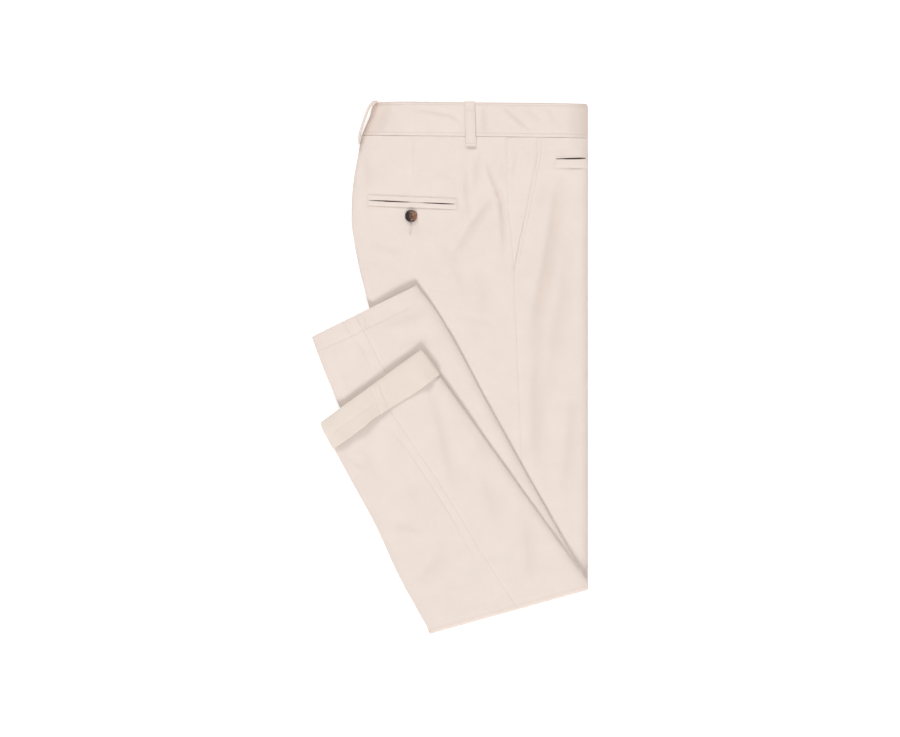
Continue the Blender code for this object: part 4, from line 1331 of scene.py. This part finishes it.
def make_lights():
    scene = bpy.context.scene
    scene.view_settings.view_transform = "Standard"
    world = bpy.data.worlds.new("studio")
    world.use_nodes = True
    background = world.node_tree.nodes["Background"]
    nodes = world.node_tree.nodes
    links = world.node_tree.links
    place = nodes.new("ShaderNodeTexCoord")
    split = nodes.new("ShaderNodeSeparateXYZ")
    ramp = nodes.new("ShaderNodeValToRGB")
    ramp.color_ramp.elements[0].position = 0.0
    ramp.color_ramp.elements[0].color = (SKY_EDGE, SKY_EDGE, SKY_EDGE, 1)
    ramp.color_ramp.elements[1].position = 0.85
    ramp.color_ramp.elements[1].color = (1, 1, 1, 1)
    links.new(place.outputs["Generated"], split.inputs[0])
    links.new(split.outputs["Z"], ramp.inputs["Fac"])
    links.new(ramp.outputs["Color"], background.inputs["Color"])
    background.inputs["Strength"].default_value = SKY_STRENGTH
    scene.world = world
    for name, direction, strength, softness in SUNS:
        data = bpy.data.lights.new(name, "SUN")
        data.angle = math.radians(softness)
        data.energy = strength
        light = bpy.data.objects.new(name, data)
        light.rotation_euler = Vector(direction).to_track_quat("-Z", "Y").to_euler()
        bpy.context.collection.objects.link(light)


# ---------------------------------------------------------------- materials
def new_material(name):
    """A material, its links and its shader."""
    material = bpy.data.materials.new(name)
    material.use_nodes = True
    return material, material.node_tree.links, material.node_tree.nodes["Principled BSDF"]


def attribute_of(material, name):
    node = material.node_tree.nodes.new("ShaderNodeAttribute")
    node.attribute_name = name
    return node


def node_of(material, kind, **values):
    """A new node with its inputs set by name."""
    node = material.node_tree.nodes.new(kind)
    for key, value in values.items():
        node.inputs[key.replace("_", " ")].default_value = value
    return node


def math_node(material, operation, first, second=0.5):
    node = material.node_tree.nodes.new("ShaderNodeMath")
    node.operation = operation
    for socket, value in zip(node.inputs, (first, second)):
        if isinstance(value, (int, float)):
            socket.default_value = value
        else:
            material.node_tree.links.new(value, socket)
    return node.outputs[0]


TWILL_PITCH = 0.55  # millimetres between the twill's ribs
TWILL_SLANT = math.radians(58.0)
PAINTED_SHADE_COLOUR = (0.47, 0.32, 0.25)  # colour of the painted shade that the cloth tends to in its creases, along its edges and round its folds


def cloth_material(name, colour, bump=0.35, mottle=1.0):
    """Brushed cotton twill: slanted ribs, slubs, uneven colour, a soft nap, and painted shade in creases,
    along edges and round folds.

    "weave" gives a point's place in the flat cloth, and the painted shade attribute how far its colour is
    mixed towards the painted shade colour.
    """
    material, links, shader = new_material(name)
    weave = attribute_of(material, "weave")
    turned = node_of(material, "ShaderNodeMapping", Rotation=(0.0, 0.0, TWILL_SLANT))
    links.new(weave.outputs["Vector"], turned.inputs["Vector"])
    ribs = node_of(material, "ShaderNodeTexWave", Scale=0.314 / TWILL_PITCH, Distortion=1.2, Detail=2.0,
                   Detail_Scale=0.8)
    links.new(turned.outputs[0], ribs.inputs["Vector"])
    slubs = node_of(material, "ShaderNodeTexNoise", Scale=1.6, Detail=4.0, Roughness=0.65)
    stretched = node_of(material, "ShaderNodeMapping", Scale=(1.0, 0.12, 1.0))
    links.new(weave.outputs["Vector"], stretched.inputs["Vector"])
    links.new(stretched.outputs[0], slubs.inputs["Vector"])
    clouds = node_of(material, "ShaderNodeTexNoise", Scale=0.035, Detail=5.0, Roughness=0.6)
    links.new(weave.outputs["Vector"], clouds.inputs["Vector"])

    parts = []
    for texture, strength in ((clouds, 0.10 * mottle), (slubs, 0.10 * mottle), (ribs, 0.06)):
        centred = math_node(material, "SUBTRACT", texture.outputs["Fac"], 0.5)
        parts.append(math_node(material, "MULTIPLY", centred, strength))
    bright = math_node(material, "ADD", math_node(material, "ADD", parts[0], parts[1]), parts[2])
    bright = math_node(material, "ADD", bright, 1.0)
    mix = material.node_tree.nodes.new("ShaderNodeVectorMath")
    mix.operation = "SCALE"
    mix.inputs[0].default_value = colour
    links.new(bright, mix.inputs["Scale"])
    # Painted shade: the colour is mixed towards the shade colour by each point's share.
    painted_shade_share = attribute_of(material, "painted_shade")
    deepen = material.node_tree.nodes.new("ShaderNodeMix")
    deepen.data_type = "RGBA"
    links.new(painted_shade_share.outputs["Fac"], deepen.inputs[0])
    links.new(mix.outputs[0], deepen.inputs[6])
    deepen.inputs[7].default_value = (*PAINTED_SHADE_COLOUR, 1)
    links.new(deepen.outputs[2], shader.inputs["Base Color"])

    slub_height = math_node(material, "MULTIPLY", slubs.outputs["Fac"], 0.6)
    relief = math_node(material, "ADD", slub_height, ribs.outputs["Fac"])
    bump_node = node_of(material, "ShaderNodeBump", Strength=bump, Distance=0.00012)
    links.new(relief, bump_node.inputs["Height"])
    links.new(bump_node.outputs[0], shader.inputs["Normal"])
    rough = math_node(material, "MULTIPLY_ADD", slubs.outputs["Fac"], 0.12)
    rough.node.inputs[2].default_value = 0.82
    links.new(rough, shader.inputs["Roughness"])
    shader.inputs["Specular IOR Level"].default_value = 0.25
    shader.inputs["Sheen Weight"].default_value = 0.12
    shader.inputs["Sheen Roughness"].default_value = 0.5
    return material


def horn_material():
    """Polished horn: near-black on one side, amber patches on the other, under a soft gloss."""
    material, links, shader = new_material("horn")
    place = attribute_of(material, "weave")
    centred = node_of(material, "ShaderNodeMapping", Location=(-BUTTON_CENTRE[0], -BUTTON_CENTRE[1], 0.0))
    links.new(place.outputs["Vector"], centred.inputs["Vector"])
    split = material.node_tree.nodes.new("ShaderNodeSeparateXYZ")
    links.new(centred.outputs[0], split.inputs[0])
    patches = node_of(material, "ShaderNodeTexNoise", Scale=0.30, Detail=3.0, Roughness=0.55, Distortion=1.2)
    links.new(centred.outputs[0], patches.inputs["Vector"])
    across = math_node(material, "MULTIPLY", split.outputs["X"], 0.5 / BUTTON_RADIUS)
    shade = math_node(material, "ADD", math_node(material, "MULTIPLY", across, 0.55), patches.outputs["Fac"])
    ramp = material.node_tree.nodes.new("ShaderNodeValToRGB")
    stops = [(0.30, (0.014, 0.006, 0.003)), (0.47, (0.040, 0.014, 0.007)), (0.58, (0.13, 0.045, 0.022)),
             (0.74, (0.40, 0.22, 0.13))]
    while len(ramp.color_ramp.elements) < len(stops):
        ramp.color_ramp.elements.new(0.5)
    for element, (position, colour) in zip(ramp.color_ramp.elements, stops):
        element.position = position
        element.color = (*colour, 1)
    links.new(shade, ramp.inputs["Fac"])
    links.new(ramp.outputs["Color"], shader.inputs["Base Color"])
    shader.inputs["Roughness"].default_value = 0.38
    shader.inputs["Coat Weight"].default_value = 0.25
    shader.inputs["Coat Roughness"].default_value = 0.25
    return material


def offset_line(table, dx, start, end, step=6.0):
    """Plan line beside a (y, x) table, from one y to another."""
    ys = np.arange(start, end, step if end > start else -step)
    return [(float(smooth_table(table, y)) + dx, float(y)) for y in ys]


DART_COLUMNS = [110.0, 110.8, 111.4, 112.0, 112.6, 113.4]  # extra columns of points, closer at a dart
ALLOWANCE_COLUMNS = [8.5, 9.5, 10.5, 11.5, 12.5, 13.5, 14.5]
RIGHT_HEM_STITCH = [(-158.3, 17.6), (-121.0, 33.5), (-98.0, 45.0), (-48.0, 68.5)]


def main():
    make_camera()
    make_lights()
    make_floor()
    cloth = cloth_material("twill", (0.80, 0.70, 0.635))
    reverse = cloth_material("twill_reverse", (0.79, 0.69, 0.61), bump=0.25)
    thread = cloth_material("thread", (0.66, 0.56, 0.49), bump=0.1, mottle=0.3)
    button_thread = cloth_material("button_thread", (0.20, 0.11, 0.07), bump=0.1, mottle=0.3)
    pale_thread = cloth_material("pale_thread", (0.78, 0.70, 0.62), bump=0.1, mottle=0.3)
    # A near-black sheet material that paints the shade inside the pocket slits and the buttonhole's slit.
    dark = cloth_material("pocket_painted_shade", (0.06, 0.035, 0.028), bump=0.1, mottle=0.5)
    horn = horn_material()
    flat = [(0.0, 0.0), (1.0, 0.0)]
    right = Leg(RIGHT_FOLD_SLANT, RIGHT_SHIN, flat, 0.0, True, HEM_PINCH, HEM_PINCH_REACH)
    left = Leg(LEFT_FOLD_SLANT, LEFT_SHIN, CUFF_RISE_TABLE, LEFT_INSET, False, CUFF_PINCH, END_REACH)
    right_creases = {"thigh": BODY_CREASES, "shin": RIGHT_SHIN_CREASES}
    left_creases = {"thigh": UNDER_CREASES, "shin": LEFT_SHIN_CREASES}
    front = make_panel("right_front_cloth", "right_front", right, True, right_creases, cloth)
    back = make_panel("right_back_cloth", "right_back", right, False, right_creases, cloth, DART_COLUMNS)
    make_panel("left_front_cloth", "left_front", left, True, left_creases, cloth)
    make_panel("left_back_cloth", "left_back", left, False, left_creases, cloth, ALLOWANCE_COLUMNS)
    band = make_waistband("right", True, cloth)
    make_waistband("left", False, cloth)
    make_facing("right", True, cloth)
    make_facing("left", False, cloth)
    loop = make_side_loop("right", True, cloth)
    make_side_loop("left", False, cloth)
    make_back_loop(cloth)
    make_back_loop_stitches(thread)
    make_cuff_stitches(surface_of(make_cuff(reverse)), pale_thread)
    make_inner_layers(reverse)

    body = surface_of(front, back)
    make_jet("upper_jet_cloth", "back_pocket_upper_jet", 1, body, cloth)
    make_jet("lower_jet_cloth", "back_pocket_lower_jet", -1, body, cloth)
    make_mouth_shade("back_pocket_painted_shade", *BACK_SLIT, slit_half_width, body, dark)
    make_coin_welt(cloth)
    make_mouth_shade("coin_pocket_painted_shade", *COIN_MOUTH, coin_slit_half_width, body, dark)
    base = make_button(body, horn)
    make_button_thread(base, button_thread)
    make_buttonhole(body, pale_thread, dark)
    make_stitching(body, surface_of(band), surface_of(loop), thread)


def coin_slit_half_width(share):
    return 0.05 + 0.6 * np.sin(np.pi * np.clip(share, 0, 1) ** 1.6) ** 0.8


def make_stitching(body, band, loop, thread):
    """Every row of topstitching on the sides that show."""
    low = BAND_SEAM_Y + BAND_STITCH_LOW
    high = BAND_TOP_Y - BAND_STITCH_HIGH
    band_rows = [
        [(-101.0, low + 3.0), (-60.0, low + 2.5), (17.0, low + 1.6), (164.0, low)],
        [(-90.0, high + 1.9), (-40.0, high + 2.3), (17.0, high + 1.9), (164.0, high)],
    ]
    stitch_rows("waistband_stitches", band_rows, band, thread)
    mouth = offset_line(POCKET_MOUTH, 4.0, 272.0, 116.0)
    stitch_rows("pocket_mouth_stitches", [mouth], body, thread)
    x0, y0 = BACK_SLIT[0]
    x1, y1 = BACK_SLIT[1]
    edge = JET_HEIGHT + 0.9
    outline = [(x0 - 1.2, y0 + edge), (x1 + 1.2, y1 + edge), (x1 + 1.2, y1 - edge), (x0 - 1.2, y0 - edge),
               (x0 - 1.2, y0 + edge)]
    stitch_rows("back_pocket_stitches", [outline], body, thread)
    coin = [(COIN_LEFT - 1.0, COIN_SLIT_Y + 3.6), (FRONT_X - 2.0, COIN_SLIT_Y + 4.2)]
    stitch_rows("coin_pocket_stitches", [coin], body, thread)
    stitch_rows("right_hem_stitches", [RIGHT_HEM_STITCH], body, thread)
    loop_rows = [[(x + 20.5, 265.5), (x + 19.2, 316.0)] for x in (1.2, 9.2)]
    for height in (306.6, 266.8):
        loop_rows.append([(18.5, height), (31.0, height)])
    stitch_rows("side_loop_stitches", loop_rows, loop, thread)


main()
